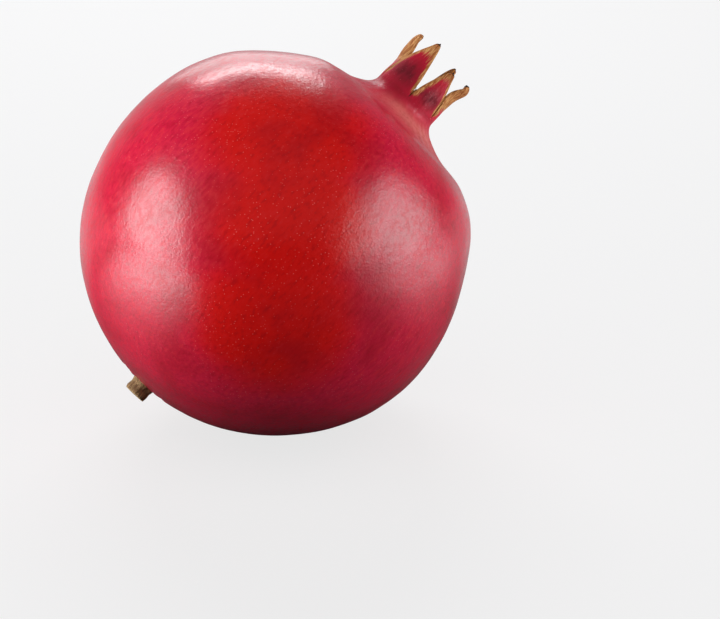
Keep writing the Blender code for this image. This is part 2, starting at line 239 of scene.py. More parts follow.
class Draft:
    """Points with named values, and the faces between them, on the way to a mesh."""

    def __init__(self, values: Sequence[str] = ()) -> None:
        """Starts an empty draft.

        Args:
            values: The names of the values that each point carries.
        """
        self.points: list[np.ndarray] = []
        self.values: dict[str, list[np.ndarray]] = {name: [] for name in values}
        self.faces: list[tuple[int, ...]] = []
        self.count = 0

    def add(self, points: np.ndarray, **values: Any) -> np.ndarray:
        """Adds points.

        Args:
            points: Places in an array of any shape, with x, y and z last.
            **values: For any of the named values, a number or an array of the points' shape.

        Returns:
            The points' numbers, in an array of the same shape.
        """
        shape = points.shape[:-1]
        numbers = np.arange(self.count, self.count + math.prod(shape)).reshape(shape)
        self.points.append(points.reshape(-1, 3))
        for name, stored in self.values.items():
            stored.append(np.broadcast_to(np.asarray(values.get(name, 0.0), float), shape).ravel())
        self.count += numbers.size
        return numbers

    def skin(self, numbers: np.ndarray, closed: bool = False) -> None:
        """Covers a grid of point numbers with quads.

        Args:
            numbers: Rows of point numbers.
            closed: Whether each row is a ring.
        """
        grid = np.hstack([numbers, numbers[:, :1]]) if closed else numbers
        corners = np.stack([grid[:-1, :-1], grid[:-1, 1:], grid[1:, 1:], grid[1:, :-1]], axis=-1)
        self.faces.extend(map(tuple, corners.reshape(-1, 4).tolist()))

    def fan(self, ring: np.ndarray, place: np.ndarray, **values: Any) -> None:
        """Closes a ring with triangles to a point in its middle.

        Args:
            ring: The ring's point numbers.
            place: Where the point goes.
            **values: The point's named values.
        """
        centre = int(self.add(place, **values))
        self.faces.extend((int(a), int(b), centre) for a, b in zip(ring, np.roll(ring, -1)))

    def mesh(self, name: str, placing: Matrix) -> bpy.types.Mesh:
        """Makes the mesh, with its faces pointing out and its values as attributes.

        Args:
            name: The mesh's name.
            placing: Where the upright form goes.

        Returns:
            The mesh, shaded smooth.
        """
        made = bpy.data.meshes.new(name)
        made.from_pydata(np.concatenate(self.points).tolist(), [], self.faces)
        for value, stored in self.values.items():
            attribute = made.attributes.new(value, "FLOAT", "POINT")
            attribute.data.foreach_set("value", np.concatenate(stored).astype(np.float32))
        made.transform(placing)
        outward = bmesh.new()
        outward.from_mesh(made)
        bmesh.ops.recalc_face_normals(outward, faces=outward.faces)
        outward.to_mesh(made)
        outward.free()
        made.shade_smooth()
        return made


def placed(name: str, mesh: bpy.types.Mesh, finish: bpy.types.Material) -> bpy.types.Object:
    """Puts a mesh in the scene with its finish.

    Args:
        name: The piece's name.
        mesh: Its mesh, already where it belongs.
        finish: Its material.

    Returns:
        The object, at the origin.
    """
    mesh.materials.clear()
    mesh.materials.append(finish)
    piece = bpy.data.objects.new(name, mesh)
    bpy.context.scene.collection.objects.link(piece)
    return piece


@dataclass(frozen=True)
class RindFinish:
    """Pomegranate rind: thick leather that grew with a coat of wax, polished by handling.

    It gives the eye a deep clear red, scarlet in the middle and crimson round it, the crimson a painted sheen
    that stands for the pinkish haze of the gloss near the highlights, all under a soft gloss that the
    leather's wrinkles break up. It has pale pinprick pores, fine lengthwise mottling,
    a dark purplish flush on the sepals, and dull golden tan where they have dried.
    """

    scarlet: str = "#c80600"
    # Crimson is a painted sheen: it stands for the pinkish haze of gloss near the highlights
    painted_sheen_crimson: str = "#be1236"
    coral: str = "#d82c36"
    wine: str = "#8e000c"
    flush: str = "#5a0f1c"
    # A pale pink patch at the neck's foot: partly blush, partly a painted highlight
    blush: str = "#e08478"
    pore: str = "#f0a8a4"
    russet: str = "#8a5a34"
    dry: str = "#96582c"
    dry_light: str = "#cc9860"
    lining: str = "#c07a34"
    lining_dark: str = "#5a2c12"
    tip: str = "#3c2415"

    # Patterns, by the size of what repeats
    cloud: float = 13.0 * MM
    mottle: float = 0.85 * MM
    strand: float = 0.32 * MM  # fibres, about 0.1 mm apart in life, drawn coarser so that they show
    pebble: float = 1.4 * MM
    pucker: float = 0.5 * MM
    lengthwise: float = 0.4
    along_strand: float = 0.12
    along_pebble: float = 0.7
    pebble_distortion: float = 0.5
    pore_cell: float = 0.78 * MM
    pore_radius: float = 0.12 * MM  # about 0.05 mm in life, drawn larger so that they show
    pore_strength: Span = (0.05, 0.21)
    pore_clouds: Span = (0.4, 0.6)
    pore_edge: Span = (0.5, 1.3)

    # Relief
    pebble_height: float = 0.055 * MM
    pucker_height: float = 0.035 * MM
    strand_height: float = 0.06 * MM

    # Gloss
    roughness: float = 0.28
    dry_roughness: float = 0.72
    coat: float = 0.70
    worn: float = 0.30
    coat_roughness: float = 0.20
    specular: float = 0.14
    bloom: float = 0.02
    bloom_colour: str = "#e0608c"
    bloom_roughness: float = 0.5

    def material(self, axis: FruitAxis) -> bpy.types.Material:
        """Builds the rind's material.

        Args:
            axis: How the fruit lies, so that streaks run from end to end of it.

        Returns:
            The material.
        """
        made, tree, shader = new_material("waxy_pomegranate_rind")
        node = partial(add_node, tree)
        upright = axis.upright(tree)
        value = {
            name: node("ShaderNodeAttribute", {}, attribute_name=name).outputs["Fac"] for name in Rind.VALUES
        }
        pattern = self._patterns(tree, upright)
        step = self._steps(tree, value, pattern)
        blend = {
            name: painted(tree, linear(first), [(share, linear(second))])
            for name, share, first, second in (
                ("ground", step["fleck"], self.painted_sheen_crimson, self.coral),
                ("dried", step["strand"], self.dry, self.dry_light),
                ("lining", step["strand"], self.lining_dark, self.lining),
            )
        }
        coats = (
            # Scarlet in the middle, over the crimson ground, which is painted sheen
            (step["cheek"], linear(self.scarlet)),
            (step["shade"], linear(self.wine)),
            (step["dark"], linear(self.wine)),
            (step["glint"], linear(self.coral)),
            # The pale pink patch at the neck's foot: partly blush, partly a painted highlight
            (value["blush"], linear(self.blush)),
            (step["flush"], linear(self.flush)),
            (self._pores(tree, upright, pattern["cloud"]), linear(self.pore)),
            (step["russet"], linear(self.russet)),
            (step["dry"], blend["dried"]),
            (value["inside"], blend["lining"]),
            (step["tip"], linear(self.tip)),
        )
        tree.links.new(painted(tree, blend["ground"], coats), shader.inputs["Base Color"])

        dull = step["dry"]
        for other in (value["inside"], value["matte"]):
            dull = node("ShaderNodeMath", {0: dull, 1: other}, operation="MAXIMUM").outputs[0]
        inputs = {0: step["worn"], 1: self.worn, 2: dull}
        rubbed = node("ShaderNodeMath", inputs, operation="MULTIPLY_ADD", use_clamp=True).outputs[0]
        gloss = {"Roughness": (self.roughness, self.dry_roughness), "Coat Weight": (self.coat, 0.0)}
        for name, (waxed, dried) in gloss.items():
            wear = node("ShaderNodeMapRange", {0: rubbed, 3: waxed, 4: dried}).outputs[0]
            tree.links.new(wear, shader.inputs[name])
        settings = {
            "Coat Roughness": self.coat_roughness,
            "Specular IOR Level": self.specular,
            "Sheen Weight": self.bloom,
            "Sheen Roughness": self.bloom_roughness,
            "Sheen Tint": linear(self.bloom_colour),
        }
        for name, setting in settings.items():
            shader.inputs[name].default_value = setting
        relief = self._relief(tree, pattern, dull)
        for name in ("Normal", "Coat Normal"):
            tree.links.new(relief, shader.inputs[name])
        return made

    def _patterns(self, tree: bpy.types.NodeTree, upright: Any) -> dict[str, Any]:
        """The noise that every variation is worked out from.

        Args:
            tree: The node tree.
            upright: Coordinates upright about the fruit's axis.

        Returns:
            Each pattern's output, by name.
        """
        looks = {  # size, scale along the axis, detail, distortion
            "cloud": (self.cloud, 1.0, 3.0, 0.0),
            "mottle": (self.mottle, self.lengthwise, 4.0, 0.0),
            "strand": (self.strand, self.along_strand, 2.0, 0.0),
            "pebble": (self.pebble, self.along_pebble, 2.0, self.pebble_distortion),
            "pucker": (self.pucker, 1.0, 2.0, 0.0),
        }
        made = {}
        for name, (size, along, detail, distortion) in looks.items():
            inputs = {"Vector": upright, "Scale": (1.0, 1.0, along)}
            drawn = add_node(tree, "ShaderNodeMapping", inputs).outputs[0]
            inputs = {"Vector": drawn, "Scale": per(size), "Detail": detail, "Distortion": distortion}
            made[name] = add_node(tree, "ShaderNodeTexNoise", inputs).outputs["Fac"]
        return made

    @staticmethod
    def _steps(tree: bpy.types.NodeTree, value: dict[str, Any], pattern: dict[str, Any]) -> dict[str, Any]:
        """Soft steps: from the patterns alone, and from the rind's values with a border that a pattern frays.

        Args:
            tree: The node tree.
            value: The rind's values, by name.
            pattern: The patterns, by name.

        Returns:
            Each step's output, by name.
        """
        plain = {  # pattern, where it starts, where it is full, how strong it gets
            "fleck": ("mottle", 0.46, 0.74, 0.38),
            "glint": ("mottle", 0.52, 0.78, 0.20),
            "shade": ("cloud", 0.56, 0.32, 0.40),
            "dark": ("mottle", 0.50, 0.27, 0.40),
            "strand": ("strand", 0.35, 0.70, 1.0),
            "worn": ("mottle", 0.44, 0.64, 1.0),
        }
        frayed = {  # pattern, how much it frays the border, where it starts, where it is full
            # The scarlet middle, outside the painted crimson sheen, its border frayed by the clouds
            "cheek": ("cloud", 0.7, 0.42, 1.38),
            "dry": ("strand", 0.9, 0.62, 1.30),
            "tip": ("strand", 0.8, 0.70, 1.10),
            "russet": ("mottle", 0.7, 0.60, 1.10),
            "flush": ("mottle", 0.8, 0.40, 1.45),
        }
        made = {}
        for name, (source, low, high, top) in plain.items():
            inputs = {0: pattern[source], 1: low, 2: high, 4: top}
            made[name] = add_node(tree, "ShaderNodeMapRange", inputs, **SOFT).outputs[0]
        for name, (source, amount, low, high) in frayed.items():
            inputs = {0: pattern[source], 1: amount, 2: value[name]}
            moved = add_node(tree, "ShaderNodeMath", inputs, operation="MULTIPLY_ADD").outputs[0]
            made[name] = add_node(tree, "ShaderNodeMapRange", {0: moved, 1: low, 2: high}, **SOFT).outputs[0]
        return made

    def _pores(self, tree: bpy.types.NodeTree, upright: Any, cloud: Any) -> Any:
        """Pale pinprick pores, each where a cell's middle lies near the surface, plainer in some places.

        Args:
            tree: The node tree.
            upright: Coordinates upright about the fruit's axis.
            cloud: The pattern of the places where they are plain.

        Returns:
            The output that says how strong a pore is.
        """
        low, high = self.pore_clouds
        faint, plain = self.pore_strength
        inputs = {0: cloud, 1: low, 2: high, 3: faint, 4: plain}
        strength = add_node(tree, "ShaderNodeMapRange", inputs).outputs[0]
        cells = add_node(tree, "ShaderNodeTexVoronoi", {"Vector": upright, "Scale": per(self.pore_cell)})
        full, gone = (self.pore_radius / self.pore_cell * edge for edge in self.pore_edge)
        inputs = {0: cells.outputs["Distance"], 1: full, 2: gone, 3: strength, 4: 0.0}
        return add_node(tree, "ShaderNodeMapRange", inputs, **SOFT).outputs[0]

    def _relief(self, tree: bpy.types.NodeTree, pattern: dict[str, Any], dull: Any) -> Any:
        """Fine relief: the leather's pebbling and puckers, and strands where it has dried.

        Args:
            tree: The node tree.
            pattern: The patterns, by name.
            dull: Where the rind has dried.

        Returns:
            The output that carries the surface's direction.
        """
        normal = None
        for name, distance, strength in (
            ("pebble", self.pebble_height, 1.0),
            ("pucker", self.pucker_height, 1.0),
            ("strand", self.strand_height, dull),
        ):
            inputs = {"Height": pattern[name], "Distance": distance, "Strength": strength}
            if normal is not None:
                inputs["Normal"] = normal
            normal = add_node(tree, "ShaderNodeBump", inputs).outputs["Normal"]
        return normal


@dataclass(frozen=True)
class DriedStamenFinish:
    """Dried stamens: papery threads the colour of straw with brown, crumbling anthers on their ends.

    They give the eye a dull golden-brown tuft, each thread a little lighter or darker than the next.
    """

    thread: str = "#a9793f"
    thread_dark: str = "#6a4220"
    anther: str = "#8a5a26"
    anther_light: str = "#c89a4e"
    crumb_size: float = 0.25 * MM
    crumb_height: float = 0.05 * MM
    roughness: float = 0.85

    def material(self) -> bpy.types.Material:
        """Builds the stamens' material.

        Returns:
            The material.
        """
        made, tree, shader = new_material("dried_stamens")
        node = partial(add_node, tree)
        where = node("ShaderNodeTexCoord", {}).outputs["Object"]
        inputs = {"Vector": where, "Scale": per(self.crumb_size), "Detail": 2.0}
        crumb = node("ShaderNodeTexNoise", inputs).outputs["Fac"]
        shade, anther = (
            node("ShaderNodeAttribute", {}, attribute_name=name).outputs["Fac"]
            for name in ("shade", "anther")
        )
        grains = painted(tree, linear(self.anther), [(crumb, linear(self.anther_light))])
        coats = ((shade, linear(self.thread_dark)), (anther, grains))
        tree.links.new(painted(tree, linear(self.thread), coats), shader.inputs["Base Color"])
        bump = node("ShaderNodeBump", {"Height": crumb, "Distance": self.crumb_height})
        tree.links.new(bump.outputs["Normal"], shader.inputs["Normal"])
        shader.inputs["Roughness"].default_value = self.roughness
        return made


@dataclass(frozen=True)
class WoodyStemFinish:
    """The cut stem: grey-brown bark over pale wood, snipped through.

    It gives the eye a dull, lengthwise-cracked brown, and a lighter cut face with faint rings.
    """

    bark: str = "#6b4a2c"
    bark_light: str = "#a98a5e"
    wood: str = "#c8a877"
    pith: str = "#7a5430"
    crack_size: float = 0.5 * MM
    crack_height: float = 0.12 * MM
    along_crack: float = 0.25
    split: Span = (0.35, 0.7)
    roughness: float = 0.85

    def material(self, axis: FruitAxis) -> bpy.types.Material:
        """Builds the stem's material.

        Args:
            axis: How the fruit lies, so that the cracks run along the stem.

        Returns:
            The material.
        """
        made, tree, shader = new_material("cut_woody_stem")
        node = partial(add_node, tree)
        inputs = {"Vector": axis.upright(tree), "Scale": (1.0, 1.0, self.along_crack)}
        along = node("ShaderNodeMapping", inputs).outputs["Vector"]
        inputs = {"Vector": along, "Scale": per(self.crack_size), "Detail": 4.0}
        crack = node("ShaderNodeTexNoise", inputs).outputs["Fac"]
        cut, pith = (
            node("ShaderNodeAttribute", {}, attribute_name=name).outputs["Fac"] for name in ("cut", "pith")
        )
        low, high = self.split
        split = node("ShaderNodeMapRange", {0: crack, 1: low, 2: high}).outputs[0]
        coats = ((split, linear(self.bark_light)), (cut, linear(self.wood)), (pith, linear(self.pith)))
        tree.links.new(painted(tree, linear(self.bark), coats), shader.inputs["Base Color"])
        bump = node("ShaderNodeBump", {"Height": crack, "Distance": self.crack_height})
        tree.links.new(bump.outputs["Normal"], shader.inputs["Normal"])
        shader.inputs["Roughness"].default_value = self.roughness
        return made


@dataclass(frozen=True)
class Sepal:
    """The shape of one sepal, in degrees and millimetres, and how it has coloured."""

    start: float  # where it starts round the tube
    length: float
    lean: float  # outwards, at half its length
    upper_lean: float  # outwards, just below the tip
    hook: float  # outwards, at the tip itself
    twist: float
    drift: float  # sideways, at the tip
    tip_width: float
    breadth: float  # how long it stays broad before it tapers
    flush: float = 0.7  # how dark its flush is
    dry_from: float = 0.62  # the share of its length that is still red
    dark_tip: float = 1.0  # how dark its very tip is


@dataclass
class Rind:
    """The rind and its crown: one closed skin, up the outside, over the sepals and down into the cup."""

    VALUES = ("dry", "inside", "tip", "flush", "blush", "russet", "cheek", "matte")

    axis: FruitAxis
    finish: RindFinish = field(default_factory=RindFinish)

    # The body
    equator_radius: float = 46.0 * MM
    stem_end_reach: float = 45.3 * MM
    dimple_depth: float = 1.7 * MM
    dimple_floor_radius: float = 3.6 * MM
    dimple_rim_radius: float = 8.0 * MM
    shoulder: tuple[float, float, float] = (24.4 * MM, 39.0 * MM, math.radians(32.0))
    neck_foot: tuple[float, float, float] = (14.5 * MM, 41.5 * MM, math.radians(13.0))

    # The crown's tube
    tube_radius: float = 8.4 * MM
    notch_height: float = 46.2 * MM
    tube_wall: float = 2.0 * MM
    cup_floor_height: float = 40.6 * MM
    cup_floor_radius: float = 5.2 * MM

    # How far the skin stands out from a turned shape
    ridge_height: float = 0.25 * MM
    ridge_turn: float = math.radians(3.0)
    stem_fade: Span = (0.0, 0.5)
    neck_fade: Span = (0.18, 0.40)
    fuller_shoulder: tuple[float, float, float] = (0.95 * MM, math.radians(139.0), math.radians(12.0))
    neck_hollow: tuple[float, float, float] = (-0.75 * MM, math.radians(154.0), math.radians(10.0))
    swellings: tuple[tuple[float, int, float, float, float], ...] = (
        (0.35 * MM, 2, math.radians(40.0), 1.0, 0.4),
        (0.40 * MM, 3, math.radians(35.0), 4.2, -2.9),
        (0.18 * MM, 5, math.radians(65.0), 2.3, 2.0),
    )

    # The sepals
    sepals: tuple[Sepal, ...] = (
        Sepal(-70.0, 14.2, -9.0, -8.0, 8.0, 8.0, 1.5, 0.9, 1.8, flush=0.75, dry_from=0.74),
        Sepal(3.0, 11.4, -9.0, -8.0, 12.0, -10.0, 0.5, 1.0, 1.8, flush=0.75, dry_from=0.80),
        Sepal(62.0, 12.8, -6.0, 28.0, -40.0, -30.0, 0.0, 2.0, 0.8, flush=0.2, dry_from=0.30),
        Sepal(122.0, 13.8, -9.0, -8.0, 25.0, -8.0, 0.0, 1.2, 1.8, flush=0.6, dry_from=0.70),
        Sepal(182.0, 13.0, -6.0, 2.0, -20.0, 12.0, -0.3, 1.6, 1.4, flush=0.5, dry_from=0.60),
        Sepal(232.0, 14.0, -2.0, 4.0, -25.0, 40.0, 0.3, 2.2, 1.1, flush=0.3, dry_from=0.40, dark_tip=0.35),
    )
    slit: float = 0.35 * MM
    slit_reach: float = 0.1
    tip_curve_radius: float = 5.5 * MM
    tip_thickness: float = 0.9 * MM
    tip_rounding: float = 0.85
    thinning: float = 0.7
    edge_share: float = 0.55
    edge_from: float = 0.3
    edge_bulge: Span = (0.3, 0.4)
    tip_bulge: float = 0.35
    lean_by: float = 0.5
    upper_lean_from: float = 0.45
    twist_span: Span = (0.1, 0.7)
    hook_from: float = 0.78

    # Where the rind stays scarlet, outside the painted crimson sheen, as (turn, angle from the stem end) in
    # degrees
    cheeks: tuple[Span, ...] = (
        (-17.0, 116.0),
        (2.0, 97.0),
        (18.0, 76.0),
        (158.0, 84.0),
        (168.0, 98.0),
        (176.0, 110.0),
    )
    cheek_edge: Span = (math.cos(math.radians(34.0)), math.cos(math.radians(2.0)))
    # A pale pink patch at the neck's foot, as (turn, width, height, reach): partly blush, partly a painted
    # highlight
    pale_patch_and_highlight: tuple[float, float, float, float] = (math.radians(28.0), 0.35, 42.6 * MM, 1.5 * MM)
    patch_blush: float = 0.55
    stem_russet: Span = (9.0 * MM, 2.0 * MM)
    neck_flush: float = 0.35
    foot_flush: float = 0.75
    flush_from: float = 1.5 * MM  # above the neck's foot
    matte_sepal: float = 0.65
    matte_neck: float = 0.5
    matte_from: Span = (38.2 * MM, 41.6 * MM)

    # How a sepal has flushed and dried, in shares of its length or its width
    sepal_flush: Span = (0.3, 0.28)
    edge_flush: float = 0.5
    dry_margin: Span = (1.6 * MM, 0.9 * MM)
    margin_fade: Span = (0.1, 1.0)
    margin_from: Span = (0.02, 0.2)
    dry_edges: float = 0.1
    dry_blur: Span = (0.15, 0.20)
    tip_from: float = 0.96
    edge_lining: float = 0.6

    # How finely it is drawn
    sepal_columns: int = 42
    sepal_rows: int = 36
    edge_steps: int = 4
    dimple_rows: int = 14
    body_rows: int = 150
    line_steps: int = 240
    shoulder_rows: int = 16
    neck_rows: int = 18
    cup_rows: int = 12
    floor_rows: int = 6

    # Relief finer than the forms above
    inset: float = 0.09 * MM
    lump_size: float = 8.0 * MM
    lump_height: float = 0.09 * MM
    lumps_by: float = 12.0 * MM
    dent_size: float = 3.0 * MM
    dent_height: float = 0.032 * MM
    furrow_size: float = 1.6 * MM
    furrow_height: float = 0.26 * MM
    furrow_run: float = 0.2
    wrinkle_size: float = 0.7 * MM
    wrinkle_height: float = 0.07 * MM
    neck_furrows: Span = (12.5 * MM, 6.5 * MM)
    neck_furrows_from: Span = (34.0 * MM, 40.0 * MM)
    stem_furrows: Span = (8.0 * MM, 3.5 * MM)
    stem_furrows_from: Span = (-38.0 * MM, -41.0 * MM)
    streak_height: float = 0.07 * MM
    streaks_by: float = 0.25
    streak_waves: tuple[float, float, float] = (5.0, 1.6, 9.7)  # across, along, and from sepal to sepal
    lining_streaks: float = 0.8

    def starts(self) -> list[float]:
        """The angle where each sepal starts, and at last the first one's again, a full turn on."""
        starts = [math.radians(sepal.start) for sepal in self.sepals]
        return [*starts, starts[0] + 2.0 * math.pi]

    def turns(self) -> np.ndarray:
        """The angle of every column, with the same number to each sepal.

        Returns:
            The angles, in one dimension.
        """
        starts = self.starts()
        shares = np.arange(self.sepal_columns) / self.sepal_columns
        return np.concatenate([mixed(a, b, shares) for a, b in zip(starts, starts[1:])])

    def body_outline(self, polar: np.ndarray) -> np.ndarray:
        """The round body's outline, with the stem's dimple.

        Args:
            polar: Angles measured from the stem end.

        Returns:
            (radius, height) at each angle.
        """
        reach = np.where(polar < math.pi / 2.0, self.stem_end_reach, self.equator_radius)
        radius = self.equator_radius * np.sin(polar)
        rim = smooth_step(self.dimple_floor_radius, self.dimple_rim_radius, radius)
        return np.stack([radius, -reach * np.cos(polar) + self.dimple_depth * (1.0 - rim)], axis=-1)

    @staticmethod
    def climb(start: tuple[float, ...], end: tuple[float, ...], share: np.ndarray) -> np.ndarray:
        """The smooth curve that climbs inwards between two places.

        Args:
            start: Radius, height and slope where it leaves.
            end: Radius, height and slope where it arrives.
            share: How far along to look.

        Returns:
            (radius, height) at each share.
        """
        first, last = np.array(start[:2]), np.array(end[:2])
        pull = np.linalg.norm(last - first)
        leave, arrive = (np.array([-math.cos(place[2]), math.sin(place[2])]) * pull for place in (start, end))
        s = share[:, None]
        point = first * (2 * s**3 - 3 * s**2 + 1) + leave * (s**3 - 2 * s**2 + s)
        return point + last * (3 * s**2 - 2 * s**3) + arrive * (s**3 - s**2)

    def outline(self) -> np.ndarray:
        """The turned outline from just off the stem end to just below the notches.

        Returns:
            (radius, height) in a row for each ring.
        """
        shoulder = math.pi - math.asin(self.shoulder[0] / self.equator_radius)
        rim = math.asin(self.dimple_rim_radius / self.equator_radius)
        dimple = rim * np.arange(1, self.dimple_rows + 1) / self.dimple_rows
        body = mixed(rim, shoulder, np.arange(1, self.body_rows + 1) / self.body_rows)
        notch = (self.tube_radius, self.notch_height, math.radians(90.0))
        slope = np.arange(1, self.shoulder_rows + 1) / self.shoulder_rows
        neck = np.arange(1, self.neck_rows) / self.neck_rows
        return np.concatenate(
            [
                self.body_outline(np.concatenate([dimple, body])),
                self.climb(self.shoulder, self.neck_foot, slope),
                self.climb(self.neck_foot, notch, neck),
            ]
        )

    def swell(self, turn: np.ndarray, radius: np.ndarray, height: np.ndarray) -> np.ndarray:
        """How far the skin stands out from the turned shape.

        Args:
            turn: Angles round the axis.
            radius: Distances from the axis.
            height: Heights along the axis.

        Returns:
            The height of the ridges, swellings, shoulder and hollow at each place.
        """
        polar = np.arctan2(radius, -height)
        aside = np.sin(polar)
        out = self.ridge_height * np.cos(len(self.sepals) * (turn - self.ridge_turn))
        for high, waves, start, along, shift in self.swellings:
            out = out + high * np.cos(waves * (turn - start)) * np.cos(along * polar + shift)
        out = out * aside * smooth_step(*self.stem_fade, aside)
        shoulder, hollow = (
            high * hump(polar, middle, spread)
            for high, middle, spread in (self.fuller_shoulder, self.neck_hollow)
        )
        return out + smooth_step(*self.neck_fade, aside) * (shoulder * np.sin(turn) + hollow)

    def fine_relief(self, places: np.ndarray) -> np.ndarray:
        """Lumps and dents of the leather, and furrows that run up from the shoulder into the neck.

        Args:
            places: Places on the turned shape.

        Returns:
            How far the skin stands out at each.
        """
        radius = np.linalg.norm(places[..., :2], axis=-1)
        height = places[..., 2]
        lumps = self.lump_height * grain(places, self.lump_size)
        lumps += self.dent_height * grain(places, self.dent_size, seed=7.3)
        turn = np.arctan2(places[..., 1], places[..., 0])
        round_it = around(self.tube_radius, turn, height * self.furrow_run)
        near_neck = hump(radius, *self.neck_furrows) * smooth_step(*self.neck_furrows_from, height)
        near_stem = hump(radius, *self.stem_furrows) * smooth_step(*self.stem_furrows_from, height)
        furrows = self.furrow_height * grain(round_it, self.furrow_size, seed=3.1)
        furrows += self.wrinkle_height * grain(round_it, self.wrinkle_size, seed=5.7)
        lumps *= smooth_step(0.0, self.lumps_by, radius)
        return lumps + furrows * (near_neck + near_stem) - self.inset

    def make_body(self, draft: Draft) -> np.ndarray:
        """Adds the outside, from the stem end to just below the notches.

        Args:
            draft: What the skin is drawn in.

        Returns:
            The numbers of its points, a row for each ring.
        """
        turn = self.turns()[None, :]
        outline = self.outline()
        radius, height = outline[:, :1], outline[:, 1:]
        turned = around(radius, turn, height)
        out = turned / np.linalg.norm(turned, axis=-1, keepdims=True)
        points = turned + out * (self.swell(turn, radius, height) + self.fine_relief(turned))[..., None]

        neck = smooth_step(self.neck_foot[1] + self.flush_from, self.notch_height, height)
        wrinkled = smooth_step(*self.matte_from, height)
        # The pale pink patch: partly blush, partly a painted highlight
        patch_turn, patch_width, patch_height, patch_reach = self.pale_patch_and_highlight
        patch = hump(height, patch_height, patch_reach) * hump(np.cos(turn - patch_turn), 1.0, patch_width)
        # The scarlet middle, outside the painted crimson sheen round the highlights
        nearest_unsheened = np.full(out.shape[:-1], -1.0)
        for cheek_turn, polar in np.radians(self.cheeks):
            aside = math.sin(polar)
            facing = (aside * math.cos(cheek_turn), aside * math.sin(cheek_turn), -math.cos(polar))
            nearest_unsheened = np.maximum(nearest_unsheened, out @ np.array(facing))
        stem_end = smooth_step(*self.stem_russet, radius) * (height < 0.0)
        numbers = draft.add(
            self.axis.set_aside(points),
            flush=self.neck_flush * np.maximum(neck, self.foot_flush * wrinkled),
            matte=mixed(self.matte_neck * wrinkled, self.matte_sepal, neck),
            blush=self.patch_blush * patch,
            russet=stem_end,
            cheek=smooth_step(*self.cheek_edge, nearest_unsheened),
        )
        draft.skin(numbers, closed=True)
        draft.fan(numbers[0], on_axis(self.body_outline(np.zeros(1))[0, 1]), russet=1.0)
        return numbers

    def lean(self, sepal: Sepal, along: np.ndarray) -> np.ndarray:
        """The outward lean of a sepal's middle line, from 0 at the notches to its hooked tip.

        Args:
            sepal: The sepal.
            along: Shares of its length.

        Returns:
            The lean at each share.
        """
        lean = mixed(0.0, sepal.lean, smooth_step(0.0, self.lean_by, along))
        lean = mixed(lean, sepal.upper_lean, smooth_step(self.upper_lean_from, self.hook_from, along))
        return np.radians(mixed(lean, sepal.hook, smooth_step(self.hook_from, 1.0, along)))

    def middle_line(self, sepal: Sepal, along: np.ndarray) -> tuple[np.ndarray, np.ndarray]:
        """A sepal's middle line, added up from its lean.

        Args:
            sepal: The sepal.
            along: Shares of its length.

        Returns:
            The radius and the height at each share.
        """
        steps = self.line_steps
        ends = np.linspace(0.0, 1.0, steps + 1)
        lean = self.lean(sepal, (ends[:-1] + ends[1:]) / 2.0)
        stride = sepal.length * MM / steps
        radius = self.tube_radius + np.concatenate([[0.0], np.cumsum(np.sin(lean) * stride)])
        height = self.notch_height + np.concatenate([[0.0], np.cumsum(np.cos(lean) * stride)])
        return np.interp(along, ends, radius), np.interp(along, ends, height)

    def blade(
        self, index: int, across: np.ndarray, along: np.ndarray
    ) -> tuple[np.ndarray, np.ndarray, np.ndarray]:
        """A grid over a sepal.

        Args:
            index: Which sepal.
            across: Columns, from -1 to 1.
            along: Rows, from 0 at the notches to 1 at the tip.

        Returns:
            The outer points, the inner points and the width of each row.
        """
        sepal = self.sepals[index]
        start, end = self.starts()[index : index + 2]
        radius, height = self.middle_line(sepal, along)
        full = np.minimum(self.tube_radius, radius) * (end - start)
        full -= self.slit * smooth_step(0.0, self.slit_reach, along)
        tip_width = sepal.tip_width * MM
        width = mixed(full, tip_width, along**sepal.breadth)
        rounding = tip_width / (2.0 * sepal.length * MM)
        past = np.clip((along - 1.0 + rounding) / rounding, 0.0, 1.0)
        width = width * np.sqrt(1.0 - self.tip_rounding * past**2)

        curve = mixed(self.tube_radius, self.tip_curve_radius, along)[:, None]
        turn = across[None, :] * width[:, None] / (2.0 * curve)
        lean = self.lean(sepal, along)[:, None]
        twist = (math.radians(sepal.twist) * smooth_step(*self.twist_span, along))[:, None]
        middle = (start + end) / 2.0
        out = np.array([math.cos(middle), math.sin(middle), 0.0])
        side = np.array([-math.sin(middle), math.cos(middle), 0.0])
        up = np.array([0.0, 0.0, 1.0])
        flat_face = out * np.cos(lean) - up * np.sin(lean)
        face = (flat_face * np.cos(twist) + side * np.sin(twist))[:, None, :]
        sideways = (side * np.cos(twist) - flat_face * np.sin(twist))[:, None, :]

        centre = out * radius[:, None] + up * height[:, None]
        centre = centre + side * (sepal.drift * MM * along**2)[:, None]
        arc = curve[..., None]
        sine, cosine = np.sin(turn)[..., None], np.cos(turn)[..., None]
        outer = centre[:, None, :] + sideways * arc * sine - face * arc * (1.0 - cosine)
        normal = face * cosine + sideways * sine
        thick = mixed(self.tube_wall, self.tip_thickness, along**self.thinning)[:, None]
        worn = mixed(1.0, self.edge_share, across[None, :] ** 4)
        worn = mixed(1.0, worn, smooth_step(0.0, self.edge_from, along)[:, None])
        inner = outer - normal * (thick * worn)[..., None]

        wide, long, apart = self.streak_waves
        lines = np.broadcast_arrays(across[None, :] * wide, along[:, None] * long, index * apart)
        streaks = self.streak_height * grain(np.stack(lines, axis=-1), 1.0)
        streaks = (streaks * smooth_step(0.0, self.streaks_by, along)[:, None])[..., None]
        return outer + normal * streaks, inner - normal * streaks * self.lining_streaks, width

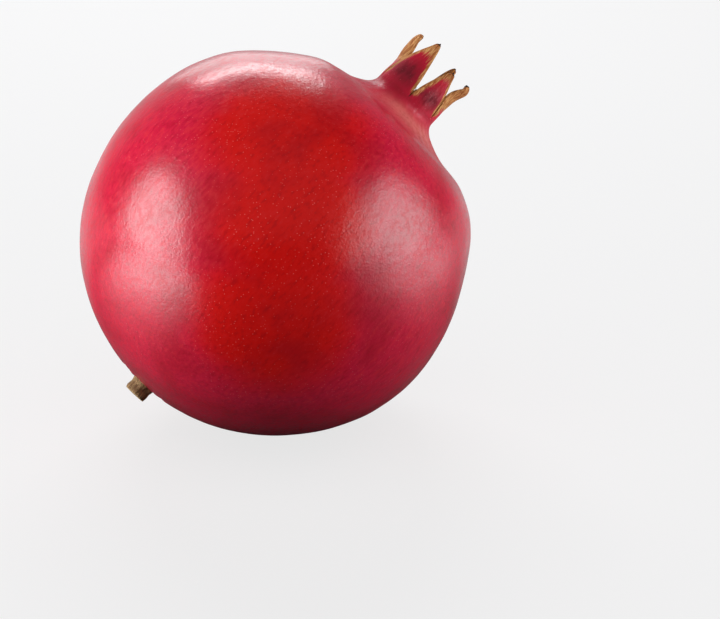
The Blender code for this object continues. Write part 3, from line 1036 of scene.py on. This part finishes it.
    def make_sepal(
        self, draft: Draft, index: int, outer_ring: np.ndarray, inner_ring: np.ndarray, notches: np.ndarray
    ) -> None:
        """Adds one sepal, growing from the rings at the notches.

        Args:
            draft: What the skin is drawn in.
            index: Which sepal.
            outer_ring: Point numbers of the outer ring.
            inner_ring: Point numbers of the inner ring.
            notches: For each notch, the numbers of the points through the wall's thickness.
        """
        sepal = self.sepals[index]
        columns = (index * self.sepal_columns + np.arange(self.sepal_columns + 1)) % outer_ring.size
        across = np.linspace(-1.0, 1.0, self.sepal_columns + 1)
        along = np.sin(np.linspace(0.0, math.pi / 2.0, self.sepal_rows + 1))[1:]
        outer, inner, width = self.blade(index, across, along)

        rise = along[:, None] + np.zeros_like(across)[None, :]
        from_edge = (1.0 - np.abs(across))[None, :] * width[:, None] / 2.0
        dry_edge = np.where(across < 0.0, *self.dry_margin)[None, :]
        margin = 1.0 - smooth_step(*self.margin_fade, from_edge / dry_edge)
        margin = margin * smooth_step(*self.margin_from, rise)
        dried_by = rise + self.dry_edges * across[None, :] ** 2
        before, after = self.dry_blur
        dried = smooth_step(sepal.dry_from - before, sepal.dry_from + after, dried_by)
        dry = np.maximum(dried, margin)
        flush = sepal.flush * hump(rise, *self.sepal_flush) * (1.0 - self.edge_flush * across[None, :] ** 2)
        tip = sepal.dark_tip * smooth_step(self.tip_from, 1.0, rise)
        faces = []
        for ring, points, inside in ((outer_ring, outer, 0.0), (inner_ring, inner, 1.0)):
            values = {"dry": dry, "flush": flush, "tip": tip, "inside": inside, "matte": self.matte_sepal}
            made = draft.add(self.axis.set_aside(points), **values)
            faces.append(np.vstack([ring[columns][None, :], made]))
            draft.skin(faces[-1])

        through = np.arange(1, self.edge_steps) / self.edge_steps
        round_edge = np.sin(math.pi * through)
        strips = {}
        bulge_share, bulge_by = self.edge_bulge
        for edge, notch in ((0, index), (-1, (index + 1) % len(self.sepals))):
            first, last = outer[:, edge], inner[:, edge]
            outward = first - outer[:, 1 if edge == 0 else -2]
            outward /= np.maximum(np.linalg.norm(outward, axis=-1, keepdims=True), TINY)
            bulge = bulge_share * np.linalg.norm(last - first, axis=-1) * smooth_step(0.0, bulge_by, along)
            points = mixed(first[:, None], last[:, None], through[None, :, None])
            points = points + outward[:, None] * (bulge[:, None] * round_edge[None, :])[..., None]
            inside = np.broadcast_to(through[None, :], points.shape[:-1]) * self.edge_lining
            made = draft.add(self.axis.set_aside(points), dry=1.0, inside=inside, tip=tip[:, :1])
            middle = np.vstack([notches[notch][None, :], made])
            strips[edge] = middle
            draft.skin(np.hstack([faces[0][:, [edge]], middle, faces[1][:, [edge]]]))

        ahead = outer[-1, 1:-1] - outer[-2, 1:-1]
        ahead /= np.linalg.norm(ahead, axis=-1, keepdims=True)
        gap = np.linalg.norm(outer[-1, 1:-1] - inner[-1, 1:-1], axis=-1)
        cap = mixed(outer[-1, 1:-1][None], inner[-1, 1:-1][None], through[:, None, None])
        cap = cap + ahead[None] * (self.tip_bulge * gap[None, :] * round_edge[:, None])[..., None]
        made = draft.add(self.axis.set_aside(cap), dry=1.0, tip=sepal.dark_tip)
        left, right = strips[0][-1][:, None], strips[-1][-1][:, None]
        draft.skin(np.vstack([faces[0][-1:], np.hstack([left, made, right]), faces[1][-1:]]))

    def make_cup(self, draft: Draft, inner_ring: np.ndarray) -> None:
        """Adds the inside of the tube, from the notches down to the middle of the cup's floor.

        Args:
            draft: What the skin is drawn in.
            inner_ring: Point numbers of the inner ring at the notches.
        """
        turn = self.turns()[None, :]
        down = np.arange(1, self.cup_rows + 1)[:, None] / self.cup_rows
        wall = mixed(self.tube_radius - self.tube_wall, self.cup_floor_radius, down)
        inward = 1.0 - np.arange(1, self.floor_rows)[:, None] / self.floor_rows
        radius = np.concatenate([wall, self.cup_floor_radius * inward])
        height = np.concatenate(
            [mixed(self.notch_height, self.cup_floor_height, down), self.cup_floor_height + 0.0 * inward]
        )
        points = around(radius, turn, height)
        numbers = draft.add(self.axis.set_aside(points), inside=1.0, dry=1.0)
        draft.skin(np.vstack([inner_ring[None, :], numbers]), closed=True)
        draft.fan(numbers[-1], on_axis(self.cup_floor_height), inside=1.0, dry=1.0)

    def build(self) -> bpy.types.Object:
        """Makes the rind, flat where it lies, and dresses it.

        Returns:
            The finished piece.
        """
        draft = Draft(self.VALUES)
        body = self.make_body(draft)
        radii = (self.tube_radius, self.tube_radius - self.tube_wall)
        rings = [around(radius, self.turns(), self.notch_height) for radius in radii]
        outer_ring = draft.add(self.axis.set_aside(rings[0]), flush=self.neck_flush, matte=self.matte_sepal)
        inner_ring = draft.add(self.axis.set_aside(rings[1]), inside=1.0, dry=1.0)
        at_notch = slice(None, None, self.sepal_columns)
        through = np.arange(1, self.edge_steps) / self.edge_steps
        walls = mixed(rings[0][at_notch][:, None], rings[1][at_notch][:, None], through[None, :, None])
        notches = draft.add(self.axis.set_aside(walls), dry=1.0, inside=self.edge_lining)
        draft.skin(np.vstack([body[-1:], outer_ring[None, :]]), closed=True)
        for index in range(len(self.sepals)):
            self.make_sepal(draft, index, outer_ring, inner_ring, notches)
        self.make_cup(draft, inner_ring)

        mesh = draft.mesh("fruit_skin", self.axis.matrix())
        flat = np.zeros(len(mesh.vertices) * 3, np.float32)
        mesh.vertices.foreach_get("co", flat)
        flat[2::3] = np.maximum(flat[2::3], 0.0)
        mesh.vertices.foreach_set("co", flat)
        mesh.update()
        return placed("fruit_skin", mesh, self.finish.material(self.axis))


@dataclass
class StamenTuft:
    """The cushion in the cup with its dried stamens, and the style in their middle."""

    axis: FruitAxis
    finish: DriedStamenFinish = field(default_factory=DriedStamenFinish)

    # The cushion
    cushion_radius: float = 4.4 * MM
    cushion_base: float = 41.4 * MM
    cushion_top: float = 43.4 * MM
    cushion_edge: float = 0.25 * MM
    cushion_sink: float = 0.1 * MM
    cushion_lumps: Span = (0.12 * MM, 1.1 * MM)
    # The cushion's top, and its underside, which is drawn darker as painted shade
    cushion_shades: Span = (0.6, 0.8)
    cushion_columns: int = 64
    cushion_rows: int = 20
    first_ring: float = 0.02
    bare_edge: Span = (0.95, 0.7)

    # The style
    style_radius: float = 0.45 * MM
    style_taper: float = 0.7
    style_reach: float = 6.6 * MM
    style_bend: Span = (0.5 * MM, -0.3 * MM)
    style_kinks: Span = (0.08 * MM, 1.2 * MM)
    style_shades: Span = (0.55, 0.9)
    style_columns: int = 16
    style_rows: int = 40
    stigma_radius: float = 0.85 * MM
    stigma_at: Span = (0.955, 0.035)
    stigma_end: tuple[float, float, float] = (0.97, 0.03, 0.05)
    root_depth: float = 0.9 * MM

    # The stamens
    spacing: float = 0.42 * MM
    density: float = 9.0e6
    thread_radius: float = 0.12 * MM
    thread_points: int = 9
    thread_sides: int = 5
    shortest: float = 4.4 * MM
    longest: float = 6.6 * MM
    bend: float = 0.9 * MM
    bend_power: float = 1.6
    sway: tuple[tuple[float, float, float], ...] = ((-1.0, -1.0, -0.25), (1.0, 1.0, 0.1))
    crinkle: float = 1.6 * MM
    thread_shades: Span = (0.0, 0.85)
    fan_reach: float = 32.0 * MM
    anther_length: float = 1.1 * MM
    anther_width: float = 0.55 * MM
    anther_growth: Span = (0.75, 1.15)
    anther_columns: int = 7
    anther_rows: int = 5
    seed: int = 11

    def base(self) -> bpy.types.Mesh:
        """The cushion, a low lumpy dome, and the style that stands in its middle.

        Returns:
            The mesh that the stamens grow from.
        """
        draft = Draft(("rooting", "shade"))
        share = np.linspace(self.first_ring, 1.0, self.cushion_rows)[:, None]
        dome = np.sqrt(np.clip(1.0 - share**4, 0.0, 1.0))
        top = mixed(self.cushion_base + self.cushion_edge, self.cushion_top, dome)
        lumpy = around(self.cushion_radius * share, ring_turns(self.cushion_columns), top)
        height, size = self.cushion_lumps
        lumpy[..., 2] += height * grain(lumpy, size) - self.cushion_sink
        # The underside is darker than the top: painted shade under the cushion
        above, below = self.cushion_shades
        rooting = np.broadcast_to(smooth_step(*self.bare_edge, share), lumpy.shape[:-1])
        upper = draft.add(self.axis.set_aside(lumpy), rooting=rooting, shade=above)
        rim = lumpy[-1:].copy()
        rim[..., 2] = self.cushion_base
        lower = draft.add(self.axis.set_aside(rim), shade=below)
        draft.skin(np.vstack([upper, lower]), closed=True)
        peak = np.array([0.0, self.axis.crown_offset * 0.5, self.cushion_top - self.cushion_sink])
        draft.fan(upper[0], peak, rooting=1.0)
        draft.fan(lower[0], on_axis(self.cushion_base), shade=below)
        self._add_style(draft)
        return draft.mesh("stamen_base", Matrix.Identity(4))

    def _add_style(self, draft: Draft) -> None:
        """Adds the style, a stout thread with a flattened knob on its end.

        Args:
            draft: What the base is drawn in.
        """
        rise = np.linspace(0.0, 1.0, self.style_rows)[:, None]
        thin = self.style_radius * self.style_taper
        knob = (self.stigma_radius - thin) * hump(rise, *self.stigma_at)
        radius = mixed(self.style_radius, thin, rise) + knob
        end_from, end_length, end_share = self.stigma_end
        past = ((rise - end_from) / end_length).clip(0.0, 1.0)
        radius = radius * np.sqrt(np.clip(1.0 - past**2, end_share, 1.0))
        height = self.cushion_top - self.root_depth + self.style_reach * rise
        points = around(radius, ring_turns(self.style_columns), height)
        right, back = self.style_bend
        points[..., 0] += right * rise**2
        points[..., 1] += back * rise
        amount, size = self.style_kinks
        points[..., :2] += amount * grain(points, size, seed=2.0)[..., None] * rise[..., None]
        side, end = self.style_shades
        numbers = draft.add(self.axis.set_aside(points), shade=side)
        draft.skin(numbers, closed=True)
        for row in (0, -1):
            draft.fan(numbers[row], self.axis.set_aside(points[row].mean(axis=0)), shade=end)

    def sizes(self) -> dict[str, float]:
        """What the rule for the stamens is given.

        Returns:
            Each size, by the name of its input.
        """
        return {
            "Spacing": self.spacing,
            "Density": self.density,
            "Shortest": self.shortest,
            "Longest": self.longest,
            "Thread Radius": self.thread_radius,
            "Bend": self.bend,
            "Anther Length": self.anther_length,
            "Anther Width": self.anther_width,
            "Seed": self.seed,
        }

    def _tree(self, finish: bpy.types.Material) -> tuple[bpy.types.NodeTree, dict[str, str]]:
        """The rule that roots stamens all over the cushion.

        Args:
            finish: The stamens' material.

        Returns:
            The tree, and the identifier of each named input.
        """
        tree = bpy.data.node_groups.new("stamens_on_cushion", "GeometryNodeTree")
        node = partial(add_node, tree)
        kinds = {"Cushion": "NodeSocketGeometry", "Seed": "NodeSocketInt"}
        sockets = {}
        for name in ("Cushion", *self.sizes()):
            kind = kinds.get(name, "NodeSocketFloat")
            sockets[name] = tree.interface.new_socket(name=name, in_out="INPUT", socket_type=kind).identifier
        tree.interface.new_socket(name="Tuft", in_out="OUTPUT", socket_type="NodeSocketGeometry")
        given = node("NodeGroupInput", {}).outputs
        cushion, seed = given["Cushion"], given["Seed"]

        # Where they root, and which way they fan out
        rooting = node("GeometryNodeInputNamedAttribute", {"Name": "rooting"}).outputs["Attribute"]
        inputs = {0: rooting, 1: 0.5}
        can_root = node("FunctionNodeCompare", inputs, data_type="FLOAT", operation="GREATER_THAN").outputs[0]
        inputs = {
            "Mesh": cushion,
            "Selection": can_root,
            "Distance Min": given["Spacing"],
            "Density Max": given["Density"],
            "Seed": seed,
        }
        roots = node("GeometryNodeDistributePointsOnFaces", inputs, distribute_method="POISSON").outputs[0]
        place = node("GeometryNodeInputPosition", {}).outputs[0]
        inputs = {0: place, 1: (per(self.fan_reach), per(self.fan_reach), 0.0), 2: (0.0, 0.0, 1.0)}
        fan = node("ShaderNodeVectorMath", inputs, operation="MULTIPLY_ADD").outputs[0]
        upward = node("FunctionNodeAlignRotationToVector", {"Vector": fan}, axis="Z").outputs[0]
        line = node("GeometryNodeCurvePrimitiveLine", {"End": (0.0, 0.0, 1.0)}).outputs[0]
        line = node("GeometryNodeResampleCurve", {"Curve": line, "Count": self.thread_points}).outputs[0]
        inputs = {2: given["Shortest"], 3: given["Longest"], "Seed": seed}
        reach = node("FunctionNodeRandomValue", inputs, data_type="FLOAT").outputs[1]
        stretch = node("ShaderNodeCombineXYZ", {0: 1.0, 1: 1.0, 2: reach}).outputs[0]
        inputs = {"Points": roots, "Instance": line, "Rotation": upward, "Scale": stretch}
        threads = node("GeometryNodeInstanceOnPoints", inputs).outputs[0]
        threads = node("GeometryNodeRealizeInstances", {0: threads}).outputs[0]

        # How each thread sways and crinkles towards its end, and its shade
        along = node("GeometryNodeSplineParameter", {}).outputs["Factor"]
        inputs = {0: self.sway[0], 1: self.sway[1], "Seed": seed}
        sway = node("FunctionNodeRandomValue", inputs, data_type="FLOAT_VECTOR").outputs[0]
        vectors = {"data_type": "FLOAT_VECTOR", "domain": "CURVE"}
        sway = node("GeometryNodeFieldOnDomain", {0: sway}, **vectors).outputs[0]
        inputs = {"Scale": per(self.crinkle), "Detail": 1.0}
        crinkle = node("ShaderNodeTexNoise", inputs, noise_dimensions="3D").outputs["Color"]
        inputs = {0: crinkle, 1: (0.5, 0.5, 0.5)}
        crinkle = node("ShaderNodeVectorMath", inputs, operation="SUBTRACT").outputs[0]
        sway = node("ShaderNodeVectorMath", {0: sway, 1: crinkle}, operation="ADD").outputs[0]
        bent = node("ShaderNodeMath", {0: along, 1: self.bend_power}, operation="POWER").outputs[0]
        bent = node("ShaderNodeMath", {0: bent, 1: given["Bend"]}, operation="MULTIPLY").outputs[0]
        offset = node("ShaderNodeVectorMath", {0: sway, "Scale": bent}, operation="SCALE").outputs[0]
        threads = node("GeometryNodeSetPosition", {"Geometry": threads, "Offset": offset}).outputs[0]
        inputs = {2: self.thread_shades[0], 3: self.thread_shades[1], "Seed": seed}
        tone = node("FunctionNodeRandomValue", inputs, data_type="FLOAT").outputs[1]
        tone = node("GeometryNodeFieldOnDomain", {0: tone}, data_type="FLOAT", domain="CURVE").outputs[0]
        stored = {"data_type": "FLOAT", "domain": "POINT"}
        inputs = {"Geometry": threads, "Name": "shade", "Value": tone}
        threads = node("GeometryNodeStoreNamedAttribute", inputs, **stored).outputs[0]
        inputs = {"Resolution": self.thread_sides, "Radius": given["Thread Radius"]}
        profile = node("GeometryNodeCurvePrimitiveCircle", inputs).outputs[0]
        inputs = {"Curve": threads, "Profile Curve": profile, "Fill Caps": True}
        solid = node("GeometryNodeCurveToMesh", inputs).outputs[0]

        # An anther on each end
        ends = node("GeometryNodeCurveEndpointSelection", {"Start Size": 0, "End Size": 1}).outputs[0]
        tangent = node("GeometryNodeInputTangent", {}).outputs[0]
        aim = node("FunctionNodeAlignRotationToVector", {"Vector": tangent}, axis="Z").outputs[0]
        width, length = given["Anther Width"], given["Anther Length"]
        size = node("ShaderNodeCombineXYZ", {0: width, 1: width, 2: length}).outputs[0]
        inputs = {2: self.anther_growth[0], 3: self.anther_growth[1], "Seed": seed}
        grow = node("FunctionNodeRandomValue", inputs, data_type="FLOAT").outputs[1]
        size = node("ShaderNodeVectorMath", {0: size, "Scale": grow}, operation="SCALE").outputs[0]
        inputs = {"Segments": self.anther_columns, "Rings": self.anther_rows, "Radius": 0.5}
        anther = node("GeometryNodeMeshUVSphere", inputs).outputs[0]
        inputs = {"Geometry": anther, "Name": "anther", "Value": 1.0}
        anther = node("GeometryNodeStoreNamedAttribute", inputs, **stored).outputs[0]
        inputs = {"Points": threads, "Selection": ends, "Instance": anther, "Rotation": aim, "Scale": size}
        anthers = node("GeometryNodeInstanceOnPoints", inputs).outputs[0]
        joined = node("GeometryNodeJoinGeometry", {})
        for part in (cushion, solid, anthers):
            tree.links.new(part, joined.inputs[0])
        smooth = node("GeometryNodeSetShadeSmooth", {"Geometry": joined.outputs[0]}).outputs[0]
        real = node("GeometryNodeRealizeInstances", {0: smooth}).outputs[0]
        dressed = node("GeometryNodeSetMaterial", {"Geometry": real, "Material": finish}).outputs[0]
        node("NodeGroupOutput", {0: dressed})
        return tree, sockets

    def build(self) -> bpy.types.Object:
        """Grows the tuft and turns it into a plain mesh.

        Returns:
            The finished piece.
        """
        finish = self.finish.material()
        sapling = placed("stamen_base", self.base(), finish)
        tree, sockets = self._tree(finish)
        rule = sapling.modifiers.new("stamens", "NODES")
        rule.node_group = tree
        for name, size in self.sizes().items():
            rule[sockets[name]] = size
        grown = sapling.evaluated_get(bpy.context.evaluated_depsgraph_get())
        mesh = bpy.data.meshes.new_from_object(grown)
        mesh.name = "stamen_tuft"
        mesh.transform(self.axis.matrix())
        bpy.data.objects.remove(sapling, do_unlink=True)
        return placed("stamen_tuft", mesh, finish)


@dataclass
class StemStub:
    """The stub of the cut stem: flared where it joined the fruit, cracked along, and snipped askew."""

    axis: FruitAxis
    finish: WoodyStemFinish = field(default_factory=WoodyStemFinish)
    radius: float = 3.0 * MM
    base_height: float = -(45.3 - 1.7 + 0.3) * MM
    length: float = 4.6 * MM
    outline: tuple[Span, ...] = (  # (share of its length, share of its radius)
        (0.0, 1.10),
        (0.25, 1.02),
        (0.55, 0.92),
        (0.85, 0.96),
        (1.0, 0.90),
    )
    ribs: int = 5
    rib_share: float = 0.05
    cut_slope: float = 0.16
    crack_height: float = 0.16 * MM
    crack_waves: tuple[float, float, float] = (3.0, 1.2, 0.55)  # round it, along it, and their size
    crack_level: float = 0.4
    bare_end: Span = (0.97, 1.0)
    bare_share: float = 0.5
    base_cut: float = 0.2
    rim_rise: float = 0.18 * MM
    rim_from: Span = (0.85, 1.0)
    pith_rise: float = 0.10 * MM
    pith_rise_by: Span = (0.25, 0.0)
    pith_edge: Span = (0.26, 0.12)
    saw_marks: Span = (0.05 * MM, 0.5 * MM)
    ring_tone: float = 0.75
    ring_waves: float = 34.0
    columns: int = 96
    rows: int = 30
    rings: int = 14

    def places(self, size: np.ndarray, share: np.ndarray) -> np.ndarray:
        """Points of the stub, in rings.

        Args:
            size: Distances from its axis.
            share: Shares of its length.

        Returns:
            The points, with x, y and z last.
        """
        turn = ring_turns(self.columns)
        height = self.base_height - self.length * share + self.cut_slope * size * np.cos(turn) * share
        return around(size, turn, height)

    def build(self) -> bpy.types.Object:
        """Makes the stub's bark, its two ends and their rings, and dresses it.

        Returns:
            The finished piece.
        """
        draft = Draft(("cut", "pith"))
        turn = ring_turns(self.columns)
        along = np.linspace(0.0, 1.0, self.rows)[:, None]
        wide = np.interp(along, *zip(*self.outline))
        ribs = 1.0 + self.rib_share * np.cos(self.ribs * turn) * (1.0 - along)
        round_it, along_it, crack_size = self.crack_waves
        lines = grain(around(round_it, turn, along * along_it), crack_size)
        radius = self.radius * wide * ribs + self.crack_height * (lines - self.crack_level)

        bark = draft.add(self.places(radius, along), cut=smooth_step(*self.bare_end, along) * self.bare_share)
        inward = 1.0 - np.linspace(0.0, 1.0, self.rings + 1)[1:-1][:, None]
        face = self.places(radius[-1:] * inward, np.ones_like(inward))
        wear = self.rim_rise * smooth_step(*self.rim_from, inward)
        wear = wear + self.pith_rise * smooth_step(*self.pith_rise_by, inward)
        depth, size = self.saw_marks
        face[..., 2] += wear + depth * grain(face, size)
        rings = mixed(self.ring_tone, 1.0, (np.cos(inward * self.ring_waves) + 1.0) / 2.0)
        cut = draft.add(face, cut=rings, pith=smooth_step(*self.pith_edge, inward))
        draft.skin(np.vstack([bark, cut]), closed=True)
        draft.fan(cut[-1], face[-1].mean(axis=0), cut=1.0, pith=1.0)
        draft.fan(bark[0], on_axis(self.base_height), cut=self.base_cut)
        mesh = draft.mesh("stem_end", self.axis.matrix())
        return placed("stem_end", mesh, self.finish.material(self.axis))


class Side(Enum):
    """The lights, by where they are."""

    LEFT = "left"
    LEFT_CARD = "left_card"
    FRONT = "front"
    RIGHT = "right"
    RIGHT_CARD = "right_card"
    BACK_HIGH = "back_high"
    BACK_LOW = "back_low"


@dataclass(frozen=True)
class Softbox:
    """A softbox or a reflecting card, by the direction that it shines from, seen from the fruit."""

    azimuth: float  # degrees from the front towards the right
    elevation: float  # degrees above the horizon
    distance: float
    width: float
    height: float
    radiance: float
    soft: bool = False  # whether it fades towards its edges and shines on the fruit alone
    flat: bool = False  # whether it is an oval card that lies facing up
    glossy: bool = True  # whether it shows in the gloss
    roll: float = 0.0  # degrees that its top leans towards the front
    edge: float = 0.75  # the share of its reach over which a soft one fades

    def light(self, name: str, target: Vector, dressed: bpy.types.Collection) -> None:
        """Hangs the light.

        Args:
            name: The light's name.
            target: What it is aimed at.
            dressed: The pieces that it shines on if it is soft, so that it leaves no edge on the floor.
        """
        turn, rise = math.radians(self.azimuth), math.radians(self.elevation)
        away = Vector((math.sin(turn) * math.cos(rise), -math.cos(turn) * math.cos(rise), math.sin(rise)))
        data = bpy.data.lights.new(name, "AREA")
        data.shape = "ELLIPSE" if self.flat else "RECTANGLE"
        data.size, data.size_y = self.width, self.height
        data.energy = self.radiance * math.pi * self.width * self.height
        lamp = bpy.data.objects.new(name, data)
        lamp.location = target + away * self.distance
        if self.flat:
            lamp.rotation_euler = Euler((math.pi, 0.0, turn))
        else:
            roll = Euler((0.0, 0.0, math.radians(self.roll))).to_quaternion()
            lamp.rotation_euler = (away.to_track_quat("Z", "Y") @ roll).to_euler()
        lamp.visible_camera = False
        lamp.visible_glossy = self.glossy
        if self.soft:
            self._soften(data)
            lamp.light_linking.receiver_collection = dressed
        bpy.context.scene.collection.objects.link(lamp)

    def _soften(self, data: bpy.types.Light) -> None:
        """Lets the light fade towards its edges.

        Args:
            data: The light.
        """
        data.use_nodes = True
        tree = data.node_tree
        node = partial(add_node, tree)
        across = node("ShaderNodeTexCoord", {}).outputs["UV"]
        inputs = {"Vector": across, "Location": (-1.0, -1.0, 0.0), "Scale": (2.0, 2.0, 0.0)}
        centred = node("ShaderNodeMapping", inputs).outputs[0]
        fall = node("ShaderNodeTexGradient", {"Vector": centred}, gradient_type="SPHERICAL").outputs["Fac"]
        glow = node("ShaderNodeMapRange", {0: fall, 2: self.edge}, **SOFT).outputs[0]
        tree.links.new(glow, tree.nodes["Emission"].inputs["Strength"])


@dataclass
class Studio:
    """The pale floor, the soft light and the camera."""

    target: Vector = field(default_factory=lambda: Vector((0.0, 0.0, 45.0 * MM)))
    camera_elevation: float = math.radians(20.0)
    camera_distance: float = 0.473
    lens: float = 100.0
    aim_right: float = 20.3 * MM
    aim_down: float = 15.5 * MM
    floor_size: float = 8.0
    floor_colour: str = "#767678"
    floor_roughness: float = 0.9
    floor_specular: float = 0.1
    floor_glow: float = 0.828
    floor_glow_behind: float = 0.54
    floor_lit_from: Span = (30.0 * MM, 130.0 * MM)
    backdrop: str = "#f6f6f6"
    ambient: float = 0.045
    backdrop_glow: float = 0.42
    backdrop_edge: Span = (0.45, 0.98)
    boxes: dict[Side, Softbox] = field(
        default_factory=lambda: {
            Side.LEFT: Softbox(-75.5, 11.0, 0.8, 0.75, 1.28, 8.8, soft=True, roll=13.0),
            Side.LEFT_CARD: Softbox(-67.5, -5.15, 0.445, 0.32, 0.78, 4.9, soft=True, flat=True, edge=0.45),
            Side.FRONT: Softbox(-5.0, 56.0, 1.0, 2.0, 1.6, 0.70, glossy=False),
            Side.RIGHT: Softbox(76.0, 7.0, 0.8, 1.10, 0.92, 5.8, soft=True, roll=24.0),
            Side.RIGHT_CARD: Softbox(82.0, -4.6, 0.50, 0.40, 0.88, 2.4, soft=True, flat=True, edge=0.45),
            Side.BACK_HIGH: Softbox(-173.0, 43.4, 0.9, 0.56, 0.20, 8.6),
            Side.BACK_LOW: Softbox(-173.0, 22.0, 0.9, 0.50, 0.36, 1.7),
        }
    )

    def set_camera(self) -> None:
        """Puts the camera where it sees the fruit at the same angle and size."""
        back = Vector((0.0, -math.cos(self.camera_elevation), math.sin(self.camera_elevation)))
        up = Vector((0.0, math.sin(self.camera_elevation), math.cos(self.camera_elevation)))
        aim = self.target + Vector((self.aim_right, 0.0, 0.0)) - up * self.aim_down
        data = bpy.data.cameras.new("camera")
        data.lens = self.lens
        camera = bpy.data.objects.new("camera", data)
        camera.location = aim + back * self.camera_distance
        camera.rotation_euler = back.to_track_quat("Z", "Y").to_euler()
        bpy.context.scene.collection.objects.link(camera)
        bpy.context.scene.camera = camera

    def lay_floor(self) -> None:
        """Lays the floor: plain pale card that glows a little, as an overlit backdrop does."""
        made, tree, shader = new_material("pale_studio_card")
        node = partial(add_node, tree)
        settings = {
            "Base Color": linear(self.floor_colour),
            "Roughness": self.floor_roughness,
            "Specular IOR Level": self.floor_specular,
            "Emission Color": linear(self.backdrop),
        }
        for name, setting in settings.items():
            shader.inputs[name].default_value = setting
        seen = node("ShaderNodeLightPath", {}).outputs["Is Camera Ray"]
        place = node("ShaderNodeTexCoord", {}).outputs["Object"]
        depth = node("ShaderNodeSeparateXYZ", {0: place}).outputs[1]
        start, end = self.floor_lit_from
        inputs = {0: depth, 1: start, 2: end, 4: self.floor_glow_behind}
        behind = node("ShaderNodeMapRange", inputs, **SOFT).outputs[0]
        lit = node("ShaderNodeMath", {0: seen, 1: behind}, operation="MAXIMUM").outputs[0]
        glow = node("ShaderNodeMath", {0: lit, 1: self.floor_glow}, operation="MULTIPLY").outputs[0]
        tree.links.new(glow, shader.inputs["Emission Strength"])
        half = self.floor_size / 2.0
        corners = [(-half, -half, 0.0), (half, -half, 0.0), (half, half, 0.0), (-half, half, 0.0)]
        mesh = bpy.data.meshes.new("floor")
        mesh.from_pydata(corners, [], [(0, 1, 2, 3)])
        placed("floor", mesh, made)

    def fill(self) -> None:
        """Sets the world: a pale backdrop behind the fruit that fades to dim light all round."""
        world = bpy.data.worlds.new("studio")
        world.use_nodes = True
        tree = world.node_tree
        node = partial(add_node, tree)
        towards = node("ShaderNodeTexCoord", {}).outputs["Generated"]
        behind = node("ShaderNodeSeparateXYZ", {0: towards}).outputs[1]
        start, end = self.backdrop_edge
        inputs = {0: behind, 1: start, 2: end, 3: self.ambient, 4: self.backdrop_glow}
        glow = node("ShaderNodeMapRange", inputs, **SOFT).outputs[0]
        dim = node("ShaderNodeBackground", {"Color": linear(self.backdrop), "Strength": glow})
        seen = node("ShaderNodeBackground", {"Color": linear(self.backdrop), "Strength": 1.0})
        direct = node("ShaderNodeLightPath", {}).outputs["Is Camera Ray"]
        both = node("ShaderNodeMixShader", {0: direct, 1: dim.outputs[0], 2: seen.outputs[0]})
        tree.links.new(both.outputs[0], tree.nodes["World Output"].inputs["Surface"])
        bpy.context.scene.world = world
        bpy.context.scene.view_settings.view_transform = "Standard"

    def build(self, pieces: Sequence[bpy.types.Object]) -> None:
        """Sets up the floor, the lights, the world and the camera.

        Args:
            pieces: The finished pieces of the fruit.
        """
        self.lay_floor()
        dressed = bpy.data.collections.new("dressed_pieces")
        for piece in pieces:
            dressed.objects.link(piece)
        for side, box in self.boxes.items():
            box.light(f"softbox_{side.value}", self.target, dressed)
        self.fill()
        self.set_camera()


def join_frame(piece: bpy.types.Object, node: str) -> None:
    """Lets a piece stand for its CAD node and reports it.

    Args:
        piece: The finished piece.
        node: The node that it stands for.
    """
    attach(piece, BODY)
    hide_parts(node)
    triangles = sum(len(face.vertices) - 2 for face in piece.data.polygons)
    LOG.info("%s stands for %s with %d triangles", piece.name, node, triangles)


def main() -> None:
    """Builds and dresses the pomegranate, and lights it."""
    logging.basicConfig(level=logging.INFO, format="%(name)s: %(message)s")
    axis = FruitAxis()
    pieces = [Rind(axis).build(), StamenTuft(axis).build(), StemStub(axis).build()]
    for piece, node, slot in zip(pieces, ("fruit", "stamens", "stem_stub"), ("rind", "stamens", "stem")):
        join_frame(piece, node)
    Studio().build(pieces)


if __name__ == "__main__":
    main()
